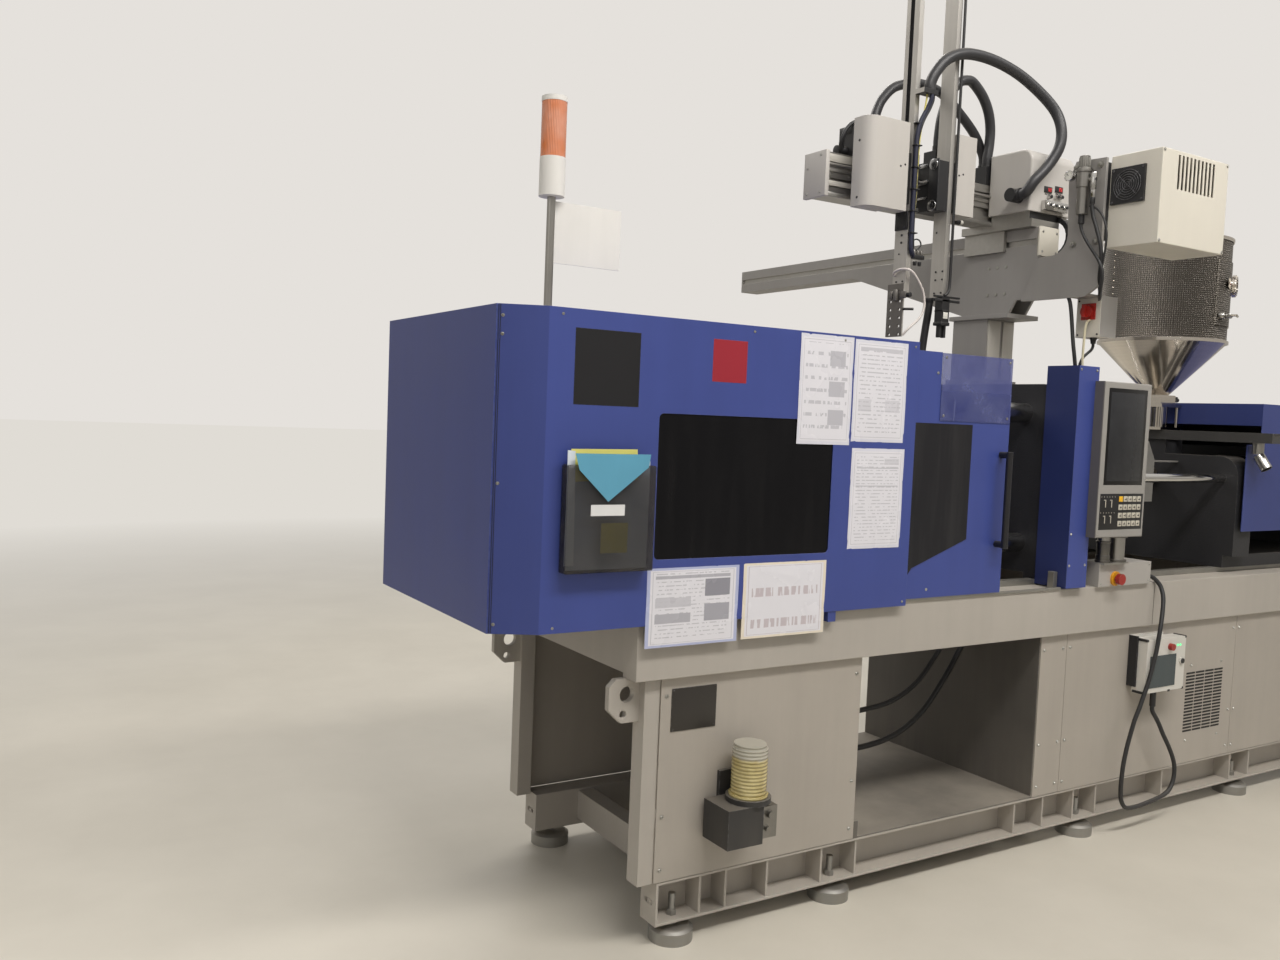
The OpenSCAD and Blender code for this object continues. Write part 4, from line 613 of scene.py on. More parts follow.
# Paper notices
# Printed sheets in clear sleeves, held to the covers by their corners. Only plain ruled boxes and lines
# stand for the print.
def sheet_print(name, x, z, tint, rows, panes, ink_tone):
    material, tree, shader = new_finish(name)
    place = on_object(tree)
    across, _, up = along(tree, place)
    u = graded(tree, across, x[0] * MM, x[1] * MM, 0.0, 1.0)
    v = graded(tree, up, z[0] * MM, z[1] * MM, 0.0, 1.0)

    def inside(value, low, high):
        return maths(tree, "MULTIPLY", maths(tree, "GREATER_THAN", value, low),
                     maths(tree, "LESS_THAN", value, high))

    def field(left, right, low, high):
        return maths(tree, "MULTIPLY", inside(u, left, right), inside(v, low, high))

    paper = field(0.035, 0.965, 0.03, 0.97)
    line = maths(tree, "FRACT", maths(tree, "MULTIPLY", v, rows))
    ragged = noise(tree, stretched(tree, place, (120.0, 1.0, rows * 3.2)), 1.0, 1.0)
    ruled = maths(tree, "MULTIPLY", inside(line, 0.32, 0.6), maths(tree, "GREATER_THAN", ragged, 0.47))
    ruled = maths(tree, "MULTIPLY", ruled, field(0.1, 0.9, 0.08, 0.93))
    ink = maths(tree, "MULTIPLY", ruled, 0.34)
    for left, right, low, high, depth in panes:
        ink = maths(tree, "MAXIMUM", ink, maths(tree, "MULTIPLY", field(left, right, low, high), depth))
    within = maths(tree, "SUBTRACT", 1.0, field(0.065, 0.935, 0.05, 0.95))
    edge = maths(tree, "MULTIPLY", within, field(0.058, 0.942, 0.045, 0.955))
    ink = maths(tree, "MAXIMUM", ink, maths(tree, "MULTIPLY", edge, 0.35))
    ink = maths(tree, "MULTIPLY", ink, paper)
    sheet_colour = blended(tree, paper, tint, srgb(222, 221, 228))
    ripple = noise(tree, place, 9.0, 3.0)
    drive(tree, shader, Base_Color=blended(tree, ink, sheet_colour, ink_tone), Coat_Weight=0.35,
          Coat_Roughness=0.12, Roughness=graded(tree, ripple, 0.3, 0.7, 0.18, 0.32))
    relief(tree, shader, ripple, 0.004, 0.35)
    return material


def notice(name, x, z, tint, rows, panes, ink_tone=srgb(96, 96, 110)):
    form = bmesh.new()
    lower = bmesh.ops.create_grid(form, x_segments=12, y_segments=12, size=0.5)["verts"]
    bmesh.ops.scale(form, vec=((x[1] - x[0]) * MM, (z[1] - z[0]) * MM, 1.0), verts=lower)
    bmesh.ops.rotate(form, cent=(0, 0, 0), matrix=Matrix.Rotation(math.radians(90), 3, "X"), verts=lower)
    for v in lower:
        a = abs(v.co.x) / ((x[1] - x[0]) / 2 * MM)
        b = abs(v.co.z) / ((z[1] - z[0]) / 2 * MM)
        bulge = 0.0016 * (1 - a ** 4) * (1 - b ** 4)
        v.co.y = -0.0012 - bulge + 0.0005 * math.sin(v.co.x * 60 + v.co.z * 35)
    bmesh.ops.translate(form, vec=((x[0] + x[1]) / 2 * MM, -0.4592, (z[0] + z[1]) / 2 * MM), verts=lower)
    bmesh.ops.solidify(form, geom=form.faces[:], thickness=0.0004)
    printed = sheet_print(name + "_print", x, z, tint, rows, panes, ink_tone)
    return finish_piece(name, form, printed, "machine", math.radians(60))


sleeve_blue = srgb(176, 182, 214)
sleeve_clear = srgb(214, 214, 224)
notices = [
    notice("notice_table", (-1876, -1576), (856, 1069), sleeve_blue, 20,
           [(0.09, 0.47, 0.3, 0.42, 0.5), (0.09, 0.47, 0.5, 0.62, 0.3), (0.62, 0.9, 0.62, 0.84, 0.75),
            (0.62, 0.9, 0.3, 0.52, 0.6), (0.09, 0.9, 0.86, 0.9, 0.5)]),
    notice("notice_bars", (-1560, -1260), (858, 1071), srgb(226, 216, 200), 2.4, [], srgb(110, 16, 26)),
    notice("notice_shapes", (-1395, -1196), (1408, 1722), sleeve_clear, 9,
           [(0.55, 0.85, 0.72, 0.86, 0.4), (0.55, 0.85, 0.44, 0.58, 0.4), (0.55, 0.85, 0.18, 0.32, 0.4)]),
    notice("notice_form", (-1190, -977), (1419, 1719), sleeve_clear, 24,
           [(0.1, 0.34, 0.3, 0.42, 0.18), (0.6, 0.88, 0.3, 0.42, 0.18), (0.1, 0.9, 0.9, 0.93, 0.3)]),
    notice("notice_list", (-1183, -970), (1100, 1400), sleeve_clear, 30,
           [(0.62, 0.9, 0.84, 0.9, 0.2), (0.1, 0.9, 0.62, 0.63, 0.4), (0.1, 0.9, 0.8, 0.81, 0.4)])]
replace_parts(notices[0], "notice_sleeves")


# Document pocket
# A smoky clear rigid pocket on the cover, with folders and loose papers standing in it.
pocket_clear, tree, shader = new_finish("pocket_clear")
haze = noise(tree, on_object(tree), 12.0, 6.0)
rim = add(tree, "LayerWeight", {"Blend": 0.35}).outputs["Facing"]
smoke = blended(tree, graded(tree, haze, 0.3, 0.7, 0.0, 1.0), srgb(40, 39, 41), srgb(70, 67, 66))
drive(tree, shader, Base_Color=smoke, Roughness=graded(tree, haze, 0.3, 0.7, 0.1, 0.22),
      Alpha=graded(tree, rim, 0.0, 1.0, 0.42, 0.85))
form = bmesh.new()
slab(form, (-2140, -1883), (-498, -460.2), (1070, 1342), 4.0, 3)
top = [f for f in form.faces if f.calc_center_median().z > 1.3419]
bmesh.ops.delete(form, geom=top, context="FACES")
bmesh.ops.solidify(form, geom=form.faces[:], thickness=0.0022)
pocket = finish_piece("document_pocket_shell", form, pocket_clear, "machine",
                      math.radians(50))
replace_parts(pocket, "document_pocket")


# A folder, sheet or label: an upright flat shape that bows a little
def card(name, points, y, colour, thick=1.2, bow=3.0):
    form = bmesh.new()
    face = form.faces.new([form.verts.new((px * MM, y * MM, pz * MM)) for px, pz in points])
    bmesh.ops.triangulate(form, faces=[face])
    bmesh.ops.subdivide_edges(form, edges=form.edges[:], cuts=5, use_grid_fill=True)
    centre = sum((v.co for v in form.verts), Vector()) / len(form.verts)
    for v in form.verts:
        v.co.y -= bow * MM * math.cos((v.co.x - centre.x) * 9) * (0.4 + 0.6 * math.sin(v.co.z * 11))
    bmesh.ops.solidify(form, geom=form.faces[:], thickness=thick * MM)
    material = coat(name + "_skin", colour, roughness=0.4, dust=0.05, grain=300.0, bump=0.0001, shift=0.05)
    return finish_piece(name, form, material, "machine", math.radians(60))


card("folder_blue", [(-2124, 1371), (-1906, 1371), (-1912, 1338), (-2028, 1251), (-2112, 1330)], -500.5,
     srgb(92, 158, 186))
card("folder_pale", [(-2128, 1076), (-1890, 1076), (-1890, 1352), (-2128, 1340)], -474, srgb(172, 180, 194))
card("sheet_yellow", [(-2120, 1300), (-1930, 1305), (-1936, 1383), (-2127, 1381)], -483,
     srgb(226, 218, 122))
card("sheet_white", [(-2138, 1090), (-2112, 1090), (-2118, 1376), (-2139, 1378)], -487, srgb(214, 221, 230))
card("label_white", [(-2074, 1215), (-1976, 1215), (-1976, 1243), (-2074, 1243)], -499.0,
     srgb(222, 222, 222), 0.6, 0.5)
card("label_yellow", [(-2040, 1120), (-1962, 1120), (-1962, 1196), (-2040, 1196)], -494,
     srgb(206, 196, 96), 0.6, 0.5)


# Clamp inside
# Grey iron castings with machined faces, ground tie bars, and the toggle's links and pins. Little of it
# shows past the open door.
def iron(name, colour, roughness=0.55, dust=0.25):
    return coat(name, colour, roughness=roughness, dust=dust, wear=0.4, worn=srgb(120, 118, 114),
                grain=160.0, bump=0.0006, shift=0.12)


# The castings are coloured darker than the iron's own grey, as painted shade inside the clamp
cast_shaded_dark = iron("cast_shaded_dark", srgb(36, 36, 40), dust=0.12)
link_grey = iron("link_grey", srgb(96, 96, 100))
for name in ("fixed_platen", "moving_platen", "toggle_support", "ejector", "crosshead"):
    dress(name, cast_shaded_dark, 1.5)
for name in ("rear_link_upper", "rear_link_lower", "front_link_upper", "front_link_lower"):
    dress(name, link_grey, 1.5)

brush, brush_in, brush_out = new_group(
    "brush",
    [("Colour", "Color", (0.6, 0.6, 0.6, 1)), ("Roughness", "Float", 0.25), ("Spread", "Float", 0.15),
     ("Stretch", "Vector", (1.0, 60.0, 60.0)), ("Shift", "Float", 0.1), ("Dust", "Float", 0.2)],
    [("Colour", "Color"), ("Roughness", "Float"), ("Height", "Float")])
place = on_object(brush)
pulled = add(brush, "VectorMath", {0: place, 1: brush_in["Stretch"]}, operation="MULTIPLY").outputs[0]
hair = noise(brush, pulled, 1.0, 8.0, 0.7)
smear = noise(brush, place, 6.0, 6.0, 0.6)
tone = maths(brush, "ADD", graded(brush, hair, 0.3, 0.7, -0.5, 0.5),
             graded(brush, smear, 0.3, 0.7, -0.5, 0.5))
tone = maths(brush, "MULTIPLY_ADD", tone, brush_in["Shift"], 1.0)
toned = scaled(brush, brush_in["Colour"], tone)
upward = along(brush, add(brush, "NewGeometry").outputs["Normal"])[2]
dusty = maths(brush, "MULTIPLY", graded(brush, upward, 0.6, 0.95, 0.0, 1.0), brush_in["Dust"])
brush.links.new(blended(brush, dusty, toned, srgb(176, 168, 154)), brush_out["Colour"])
rough = maths(brush, "MULTIPLY_ADD", maths(brush, "SUBTRACT", smear, 0.5), brush_in["Spread"],
              brush_in["Roughness"])
brush.links.new(maths(brush, "MULTIPLY_ADD", dusty, 0.4, rough), brush_out["Roughness"])
brush.links.new(hair, brush_out["Height"])


def steel(name, colour, roughness, stretch, spread=0.15, shift=0.12, metallic=1.0):
    material, tree, shader = new_finish(name)
    drawn = fill_group(tree, brush, {"Colour": colour, "Roughness": roughness, "Spread": spread,
                                     "Stretch": stretch, "Shift": shift, "Dust": 0.2})
    drive(tree, shader, Base_Color=drawn["Colour"], Roughness=drawn["Roughness"], Metallic=metallic)
    relief(tree, shader, drawn["Height"], 0.00003)
    return material


ground = steel("ground_steel", srgb(178, 178, 180), 0.22, (240.0, 20.0, 20.0))
chrome = steel("chrome_rod", srgb(205, 204, 202), 0.1, (120.0, 20.0, 20.0), spread=0.06, shift=0.05)
post_steel = steel("post_steel", srgb(172, 170, 166), 0.3, (20.0, 20.0, 3.0))
dress("tie_bars", ground, 1.0)
dress("clamp_screw", ground, 0.8)
dress("pull_rods", chrome, 0.8)
heater = steel("heater_steel", srgb(132, 124, 112), 0.4, (40.0, 40.0, 6.0), shift=0.25)
dress("barrel", heater, 0.8)
dress("feed_screw", ground)


# Injection unit
# Cast housing and base plate in dark grey paint, a grey sheet hood over the barrel, and a long blue cover.
unit_dark = iron("unit_dark", srgb(40, 40, 43), dust=0.2)
dress("injection_base", unit_dark, 1.5)
dress("pusher_plate", unit_dark, 1.5)
hood_grey = coat("hood_grey", srgb(122, 120, 116), roughness=0.45, dust=0.25, wear=0.3, grain=500.0)
dress("barrel_cover", hood_grey, 0.8)
dress("injection_cover", cover_blue, 0.8)
rail_dark = iron("slide_dark", srgb(62, 61, 60), roughness=0.5)


# Hopper
# Spun stainless sheet: a mirror-bright cone, a drum rolled from diamond-embossed sheet with a polished
# rim, a curved door with a sight glass, and a plain lid.
def stainless(name, colour, roughness, emboss):
    material, tree, shader = new_finish(name)
    place = on_object(tree)
    px, py, pz = along(tree, place)
    around = maths(tree, "MULTIPLY", maths(tree, "ARCTAN2", py, maths(tree, "SUBTRACT", px, 1.0)), 0.25)
    drawn = fill_group(tree, brush, {"Colour": colour, "Roughness": roughness, "Spread": 0.1,
                                     "Stretch": (3.0, 3.0, 170.0), "Shift": 0.14, "Dust": 0.1})
    drive(tree, shader, Base_Color=drawn["Colour"], Metallic=1.0)
    height = drawn["Height"]
    depth = 0.00003
    if emboss:
        rising = maths(tree, "SINE", maths(tree, "MULTIPLY", maths(tree, "ADD", around, pz), emboss))
        falling = maths(tree, "SINE", maths(tree, "MULTIPLY", maths(tree, "SUBTRACT", around, pz), emboss))
        height = maths(tree, "MULTIPLY", rising, falling)
        depth = 0.003
        # The pattern's colour is darker in its dips and lighter on its tops: painted shade and highlight of
        # the relief
        emboss_painted_light = graded(tree, height, -0.9, 0.9, 0.45, 1.15)
        drive(tree, shader, Base_Color=scaled(tree, drawn["Colour"], emboss_painted_light),
              Roughness=graded(tree, height, -1.0, 1.0, roughness + 0.12, roughness))
    else:
        drive(tree, shader, Roughness=drawn["Roughness"])
    relief(tree, shader, height, depth)
    return material


drum_steel = stainless("drum_steel", srgb(114, 109, 103), 0.22, 370.0)
cone_steel = stainless("cone_steel", srgb(216, 210, 202), 0.14, 0.0)


def is_sharp(edge):
    return len(edge.link_faces) == 2 and edge.calc_face_angle(0.0) > sharp_turn


# A CAD mesh with several finishes: choose names the finish of a face from its centre and its normal, and
# wide picks the edges that are rounded more broadly, from their middle and their direction.
def copied(name, piece_name, materials, choose, body, width, wide=None, wide_by=0.0):
    form = bmesh.new()
    form.from_mesh(nodes[name].data)
    bmesh.ops.remove_doubles(form, verts=form.verts[:], dist=0.00002)
    bmesh.ops.dissolve_limit(form, angle_limit=math.radians(0.8), verts=form.verts[:], edges=form.edges[:])
    if wide:
        chosen = []
        for edge in form.edges:
            a, b = edge.verts[0].co, edge.verts[1].co
            if is_sharp(edge) and wide((a + b) * 500, (b - a).normalized()):
                chosen.append(edge)
        ease(form, chosen, wide_by, 6)
    ease(form, [e for e in form.edges if is_sharp(e)], width)
    for face in form.faces:
        face.material_index = choose(face.calc_center_median() * 1000, face.normal)
    shade_edges(form, sharp_turn)
    piece = as_piece(piece_name, form, materials, body)
    piece.modifiers.new("shade", "WEIGHTED_NORMAL").keep_sharp = True
    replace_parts(piece, name)


hopper_x, drum_radius, hatch_turn = 1000, 250.0, -65.0
copied("hopper_shell", "hopper_body", [drum_steel, cone_steel],
       lambda c, n: 0 if c.z > 1885 and c.z < 2292 else 1, "hopper", 0.8)
dress("hopper_lid", cone_steel, 1.5)
copied("hopper_door", "hopper_hatch", [drum_steel, cone_steel],
       lambda c, n: 0 if 1941 < c.z < 2209 and Vector((c.x - hopper_x, c.y)).length < 254.6 else 1,
       "hopper_door", 0.6)
gate_black = coat("gate_black", srgb(38, 37, 36), roughness=0.45, dust=0.15, wear=0.4, grain=300.0)
dress("hopper_gate", gate_black, 1.0)
copied("hopper_rail", "hopper_slide", [rail_dark, post_steel],
       lambda c, n: 1 if c.z < 1459.5 or (c.z > 1488.5 and abs(c.x - hopper_x) > 39) else 0,
       "injection_unit", 0.8)


# A point on the drum's skin, beside the middle line that looks towards the given angle
def on_drum(local_y, z, out, turned=hatch_turn):
    angle = math.radians(turned)
    reach = math.sqrt(drum_radius ** 2 - local_y ** 2) + out
    return Vector((hopper_x + reach * math.cos(angle) - local_y * math.sin(angle),
                   reach * math.sin(angle) + local_y * math.cos(angle), z))


# Outward and sideways directions of the hatch
radial = Vector((math.cos(math.radians(hatch_turn)), math.sin(math.radians(hatch_turn)), 0.0))
beside = Vector((-radial.y, radial.x, 0.0))

# Sight glass: a rolled ring with a domed dark pane, riveted to the hatch
form = bmesh.new()
centre = Vector((hopper_x, 0, 2120)) + radial * 239 + beside * 60
for inner, outer, low, high in ((33, 47, 14, 27), (33, 41, 27, 32)):
    ring = bmesh.ops.create_circle(form, cap_ends=False, segments=48, radius=outer * MM)["verts"]
    hole = bmesh.ops.create_circle(form, cap_ends=False, segments=48, radius=inner * MM)["verts"]
    edges = list({e for v in ring + hole for e in v.link_edges})
    flat = bmesh.ops.bridge_loops(form, edges=edges)["faces"]
    grown = bmesh.ops.extrude_face_region(form, geom=flat)["geom"]
    lifted = [g for g in grown if isinstance(g, bmesh.types.BMVert)]
    bmesh.ops.translate(form, vec=(0, 0, (high - low) * MM), verts=lifted)
    whole = ring + hole + lifted
    turn = radial.to_track_quat("Z", "Y").to_matrix().to_4x4()
    bmesh.ops.transform(form, matrix=Matrix.Translation((centre + radial * low) * MM) @ turn, verts=whole)
for k in range(8):
    a = math.radians(45 * k + 20)
    spot = centre + beside * 43 * math.cos(a) + Vector((0, 0, 43 * math.sin(a)))
    bar(form, spot + radial * 26, spot + radial * 29.5, 2.6, 1.6, sides=12)
finish_piece("sight_ring", form, cone_steel, "hopper_door")
form = bmesh.new()
bar(form, centre + radial * 16, centre + radial * 27, 34, 31, sides=40, soft=1.0)
finish_piece("sight_pane", form, smoked("sight_pane_dark", srgb(34, 32, 30), 0.08, 0.05, 0.05, 0.5),
             "hopper_door")

# Hatch furniture: hinge barrels, lever latch with a rod handle, and a plain two-tone arrow plate
form = bmesh.new()
for z in (1985, 2175):
    pin = Vector((hopper_x, 0, z)) + radial * 222 + beside * 136
    bar(form, pin - Vector((0, 0, 22)), pin + Vector((0, 0, 22)), 9, soft=1.5)
    bar(form, pin + radial * 4, pin + radial * 20, 5, sides=16, soft=1.0)
    bar(form, pin + Vector((0, 0, 22)), pin + Vector((0, 0, 27)), 6, 3, sides=16)
grip = Vector((hopper_x, 0, 1980)) + beside * -110
bar(form, grip + radial * 225, grip + radial * 246, 15, sides=24, soft=1.5)
bar(form, grip + radial * 246, grip + radial * 262, 8, soft=1.0)
bar(form, grip + radial * 264 - beside * 14, grip + radial * 264 + beside * 62, 7.5, soft=2.5, segments=3)
finish_piece("hatch_furniture", form, post_steel, "hopper_door")
form = bmesh.new()
plate = on_drum(-38, 2118, 1.0)
made = bmesh.ops.create_cube(form, size=1.0)["verts"]
bmesh.ops.scale(form, vec=(0.102, 0.0012, 0.040), verts=made)
ease(form, {e for v in made for e in v.link_edges}, 0.4, 1)
lean = Matrix.Rotation(math.radians(hatch_turn + 90), 4, "Z")
bmesh.ops.transform(form, matrix=Matrix.Translation((plate + radial * 4.5) * MM) @ lean,
                    verts=form.verts[:])
plate_white = coat("plate_white", srgb(216, 206, 190), roughness=0.4)
finish_piece("hatch_plate", form, plate_white, "hopper_door")
form = bmesh.new()
for side in (-1, 1):
    tip = plate + radial * 5.4 + beside * side * 44
    tri = [form.verts.new((tip + beside * side * a + Vector((0, 0, b))) * MM)
           for a, b in ((0, -9), (10, 0), (0, 9))]
    form.faces.new(tri)
band = [form.verts.new((plate + radial * 5.4 + beside * a + Vector((0, 0, b))) * MM)
        for a, b in ((-34, -3), (34, -3), (34, 3), (-34, 3))]
form.faces.new(band)
bmesh.ops.solidify(form, geom=form.faces[:], thickness=0.0005)
finish_piece("hatch_arrow", form, coat("arrow_red", srgb(160, 44, 36), roughness=0.4),
             "hopper_door")

# The drum's rolled rims and its lap joint with rivets
form = bmesh.new()
for z in (1873, 2294):
    ring = bmesh.ops.create_circle(form, cap_ends=False, segments=96,
                                   radius=(drum_radius + 2.5) * MM)["verts"]
    bmesh.ops.translate(form, vec=(1.0, 0, z * MM), verts=ring)
    wall = bmesh.ops.extrude_edge_only(form, edges=list({e for v in ring for e in v.link_edges}))["geom"]
    bmesh.ops.translate(form, vec=(0, 0, 0.011),
                        verts=[g for g in wall if isinstance(g, bmesh.types.BMVert)])
bmesh.ops.solidify(form, geom=form.faces[:], thickness=-0.0018)
for k in range(14):
    at = on_drum(0, 1905 + 28 * k, 0.0, 160.0)
    out = Vector((at.x - hopper_x, at.y, 0)).normalized()
    bar(form, at - out, at + out * 2.4, 3.4, 2.0, sides=10)
finish_piece("drum_rims", form, cone_steel, "hopper")


# Operator panel
# A moulded grey housing with a tall touch screen and a black key field, on two posts over a small
# sheet-metal box that also carries the stop button and the pendant's socket.
panel_shell = coat("panel_shell", srgb(150, 147, 143), roughness=0.42, wear=0.15, grain=1100.0,
                   bump=0.0001, worn=srgb(140, 138, 134), shift=0.03)
shell_dark = coat("panel_flank", srgb(96, 93, 92), roughness=0.45, dust=0.15, wear=0.15, grain=1100.0,
                  bump=0.0001)
copied("control_panel", "panel_housing", [panel_shell, shell_dark],
       lambda c, n: 1 if c.x < -70 or c.y > -461 else 0, "machine", 1.2,
       wide=lambda m, d: m.y < -498.5 and (m.x < -71 or m.x > 195 or m.z < 1110 or m.z > 1653), wide_by=6.0)


# Touch screen: black-bordered glass let in flush, the unlit display a shade lighter
touch_glass, tree, shader = new_finish("touch_glass")
place = on_object(tree)
across, _, up = along(tree, place)
beside_middle = maths(tree, "ABSOLUTE", maths(tree, "SUBTRACT", across, 0.062))
over_middle = maths(tree, "ABSOLUTE", maths(tree, "SUBTRACT", up, 1.463))
shown = maths(tree, "MULTIPLY", maths(tree, "LESS_THAN", beside_middle, 0.096),
              maths(tree, "LESS_THAN", over_middle, 0.155))
finger = noise(tree, place, 16.0, 7.0, 0.65)
glow = blended(tree, graded(tree, finger, 0.35, 0.7, 0.0, 1.0), srgb(40, 41, 44), srgb(47, 48, 51))
drive(tree, shader, Base_Color=blended(tree, shown, srgb(14, 14, 16), glow),
      Roughness=graded(tree, finger, 0.35, 0.7, 0.12, 0.3), Specular_IOR_Level=0.3)
block_piece("touch_screen", touch_glass, "machine",
            (-47.6, 171.6), (-499.8, -498.6), (1294.4, 1631.6), 0.4)

# Key field: a black membrane with rows of bright keys, two pairs of slide switches and small lamps
key_black = coat("key_black", srgb(24, 23, 25), roughness=0.4, dust=0.05, wear=0.0, grain=1400.0,
                 bump=0.00005)
key_white = coat("key_white", srgb(196, 190, 176), roughness=0.35, grain=1400.0, bump=0.00005)
key_yellow = coat("key_yellow", srgb(236, 182, 36), roughness=0.35, dust=0.05, grain=1400.0, bump=0.00005)
block_piece("key_field", key_black, "machine",
            (-59.5, 183.5), (-499.9, -498.8), (1137.5, 1263.5), 0.4)
form = bmesh.new()
yellow = bmesh.new()
marks = bmesh.new()
for row in range(4):
    for col in range(5):
        x, z = 46 + 26 * col, 1149 + 29 * row
        slab(yellow if (row, col) == (3, 0) else form, (x - 0.6, x + 20.6), (-502.0, -498.9),
             (z - 0.6, z + 18.6), 1.6, 3)
        if (row, col) != (3, 0):
            slab(marks, (x + 4, x + 15), (-502.1, -501.8),
                 (z + 5 + (col + row) % 3, z + 8 + (col + row) % 3))
            slab(marks, (x + 9 + (row % 2) * 3, x + 11.5 + (row % 2) * 3), (-502.1, -501.8),
                 (z + 4, z + 14))
for row in range(2):
    for col in range(2):
        x, z = -30 + 34 * col, 1160 + 56 * row
        slab(form, (x, x + 3.4), (-501.0, -499.5), (z, z + 27), 0.6)
        slab(form, (x - 8, x + 3.4), (-501.0, -499.5), (z + 24, z + 27), 0.6)
for row in range(2):
    for k in range(6):
        bar(form, (-52 + 15 * k, -500.4, 1197 + 56 * row), (-52 + 15 * k, -499.6, 1197 + 56 * row), 1.6,
            sides=12)
finish_piece("keys", form, key_white, "machine")
finish_piece("start_key", yellow, key_yellow, "machine")
finish_piece("key_marks", marks, key_black, "machine")

# Panel mounting: clamp collar and swivel on the posts, corner screws of the box, gland nut of the lead
form = bmesh.new()
for z0, z1, r in ((1013, 1021, 27), (1021, 1040, 23.5), (1040, 1082, 22), (1082, 1090, 25)):
    bar(form, (60, -440, z0), (60, -440, z1), r, sides=40, soft=1.2)
for z0, z1, r in ((1013, 1022, 34), (1101, 1109, 33)):
    bar(form, (140, -440, z0), (140, -440, z1), r, sides=40, soft=1.2)
finish_piece("panel_collars", form, steel("collar_steel", srgb(112, 110, 106), 0.4, (30.0, 30.0, 30.0)),
             "machine")
form = bmesh.new()
for x in (42, 324):
    for z in (937, 996):
        button_screw(form, (x, -452, z), front, 3.0)
for x in (-64, 188):
    for z in (1120, 1283, 1643):
        button_screw(form, (x, -500, z), front, 1.6)
finish_piece("panel_box_screws", form, screw_zinc, "machine")
form = bmesh.new()
bar(form, (336, -430, 950), (341, -430, 950), 17, sides=6, soft=0.8)
bar(form, (341, -430, 950), (352, -430, 950), 13.5, 9.5, sides=32, soft=0.8)
finish_piece("lead_gland", form, coat("gland_black", srgb(28, 28, 30), roughness=0.4),
             "machine")

collar_yellow = coat("collar_yellow", srgb(214, 150, 26), roughness=0.4)
base_shell = coat("base_shell", srgb(166, 162, 157), roughness=0.42, wear=0.15, grain=1100.0, bump=0.0001,
                  shift=0.03)
copied("panel_base", "panel_box", [base_shell, collar_yellow, post_steel, rubber],
       lambda c, n: 1 if c.y < -452.5 and c.z < 990 and c.x < 200 else
       3 if c.x > 336.5 else 2 if c.z > 1007.5 else 0,
       "machine", 1.2)
stop_red = coat("stop_red", srgb(150, 38, 30), roughness=0.3, wear=0.2, grain=900.0, bump=0.00005)
dress("stop_button", stop_red, 2.5, 3)


# Grease pump
# A dark motor block with a clear cup of pale yellow grease screwed on top, and a steel valve block.
pump_dark = coat("pump_dark", srgb(45, 44, 44), roughness=0.5, dust=0.35, wear=0.3, grain=300.0,
                 bump=0.0004)
valve_steel = steel("valve_steel", srgb(140, 138, 134), 0.35, (60.0, 60.0, 60.0))
copied("grease_pump", "pump_body", [pump_dark, valve_steel],
       lambda c, n: 1 if c.x > -1520.5 and c.z < 409 else 0, "machine", 1.5)
grease, tree, shader = new_finish("grease")
place = on_object(tree)
up = along(tree, place)[2]
blot = noise(tree, place, 22.0, 6.0)
band = graded(tree, maths(tree, "ADD", up, maths(tree, "MULTIPLY", blot, 0.03)), 0.545, 0.553, 0.0, 1.0)
filled = blended(tree, graded(tree, blot, 0.35, 0.65, 0.0, 1.0), srgb(168, 152, 96), srgb(196, 182, 128))
ribs = maths(tree, "SINE", maths(tree, "MULTIPLY", up, 620.0))
relief(tree, shader, ribs, 0.0012)
drive(tree, shader, Base_Color=blended(tree, band, filled, srgb(176, 172, 158)), Roughness=0.12,
      Coat_Weight=0.8, Coat_Roughness=0.04)
dress("grease_reservoir", grease, 1.2)


# Signal tower
# Three stacked lamps with ribbed lenses on a tube, and a bare sign plate clamped to the tube.
tower_white = coat("tower_white", srgb(224, 222, 218), roughness=0.4, dust=0.15, wear=0.0)


# A lamp's ribbed lens, unlit, its colour blended toward white in patches as painted light of daylight
# through it
def lens(name, colour):
    material, tree, shader = new_finish(name)
    place = on_object(tree)
    px, py, _ = along(tree, place)
    turn = maths(tree, "ARCTAN2", maths(tree, "ADD", py, 0.27), maths(tree, "ADD", px, 2.1))
    relief(tree, shader, maths(tree, "SINE", maths(tree, "MULTIPLY", turn, 48.0)), 0.0008)
    glow = noise(tree, place, 14.0)
    lit = blended(tree, graded(tree, glow, 0.3, 0.7, 0.0, 0.25), colour, (1, 1, 1, 1))
    drive(tree, shader, Base_Color=lit, Roughness=0.16, Coat_Weight=0.5)
    return material


copied("signal_tower", "signal_stack",
       [tower_white, lens("lens_green", srgb(26, 132, 86)), lens("lens_orange", srgb(226, 116, 30)),
        lens("lens_red", srgb(190, 34, 30)), post_steel],
       lambda c, n: 4 if c.z < 2029 and c.x < -2085 else
       0 if abs(n.z) >= 0.5 or not 2131 < c.z < 2271 else
       1 if c.z < 2177.5 else 2 if c.z < 2225.5 else 3,
       "machine", 1.0)


# Robot
# An aluminium gantry on a sheet-steel pedestal: traverse beam across the machine, kick beam along it, and
# two flat arms on carriages. Covers and the control box are painted off-white.
robot_grey = coat("robot_grey", srgb(154, 151, 148), roughness=0.42, dust=0.25, wear=0.25, grain=600.0,
                  metallic=0.2)
box_cream = coat("box_cream", srgb(214, 209, 197), roughness=0.42, dust=0.15, wear=0.15, grain=900.0,
                 shift=0.03)
switch_red = coat("switch_red", srgb(176, 42, 34), roughness=0.35)
alu = steel("drawn_aluminium", srgb(176, 174, 170), 0.34, (4.0, 60.0, 60.0), metallic=0.9)
arm_alu = steel("arm_aluminium", srgb(190, 187, 182), 0.38, (60.0, 60.0, 3.0), metallic=0.75)
plate_steel = steel("wrist_steel", srgb(120, 117, 113), 0.42, (30.0, 30.0, 8.0), metallic=0.8)
black_and_groove_shade = coat("black_moulding_and_groove_shade", srgb(32, 32, 34), roughness=0.45, dust=0.2, grain=700.0)
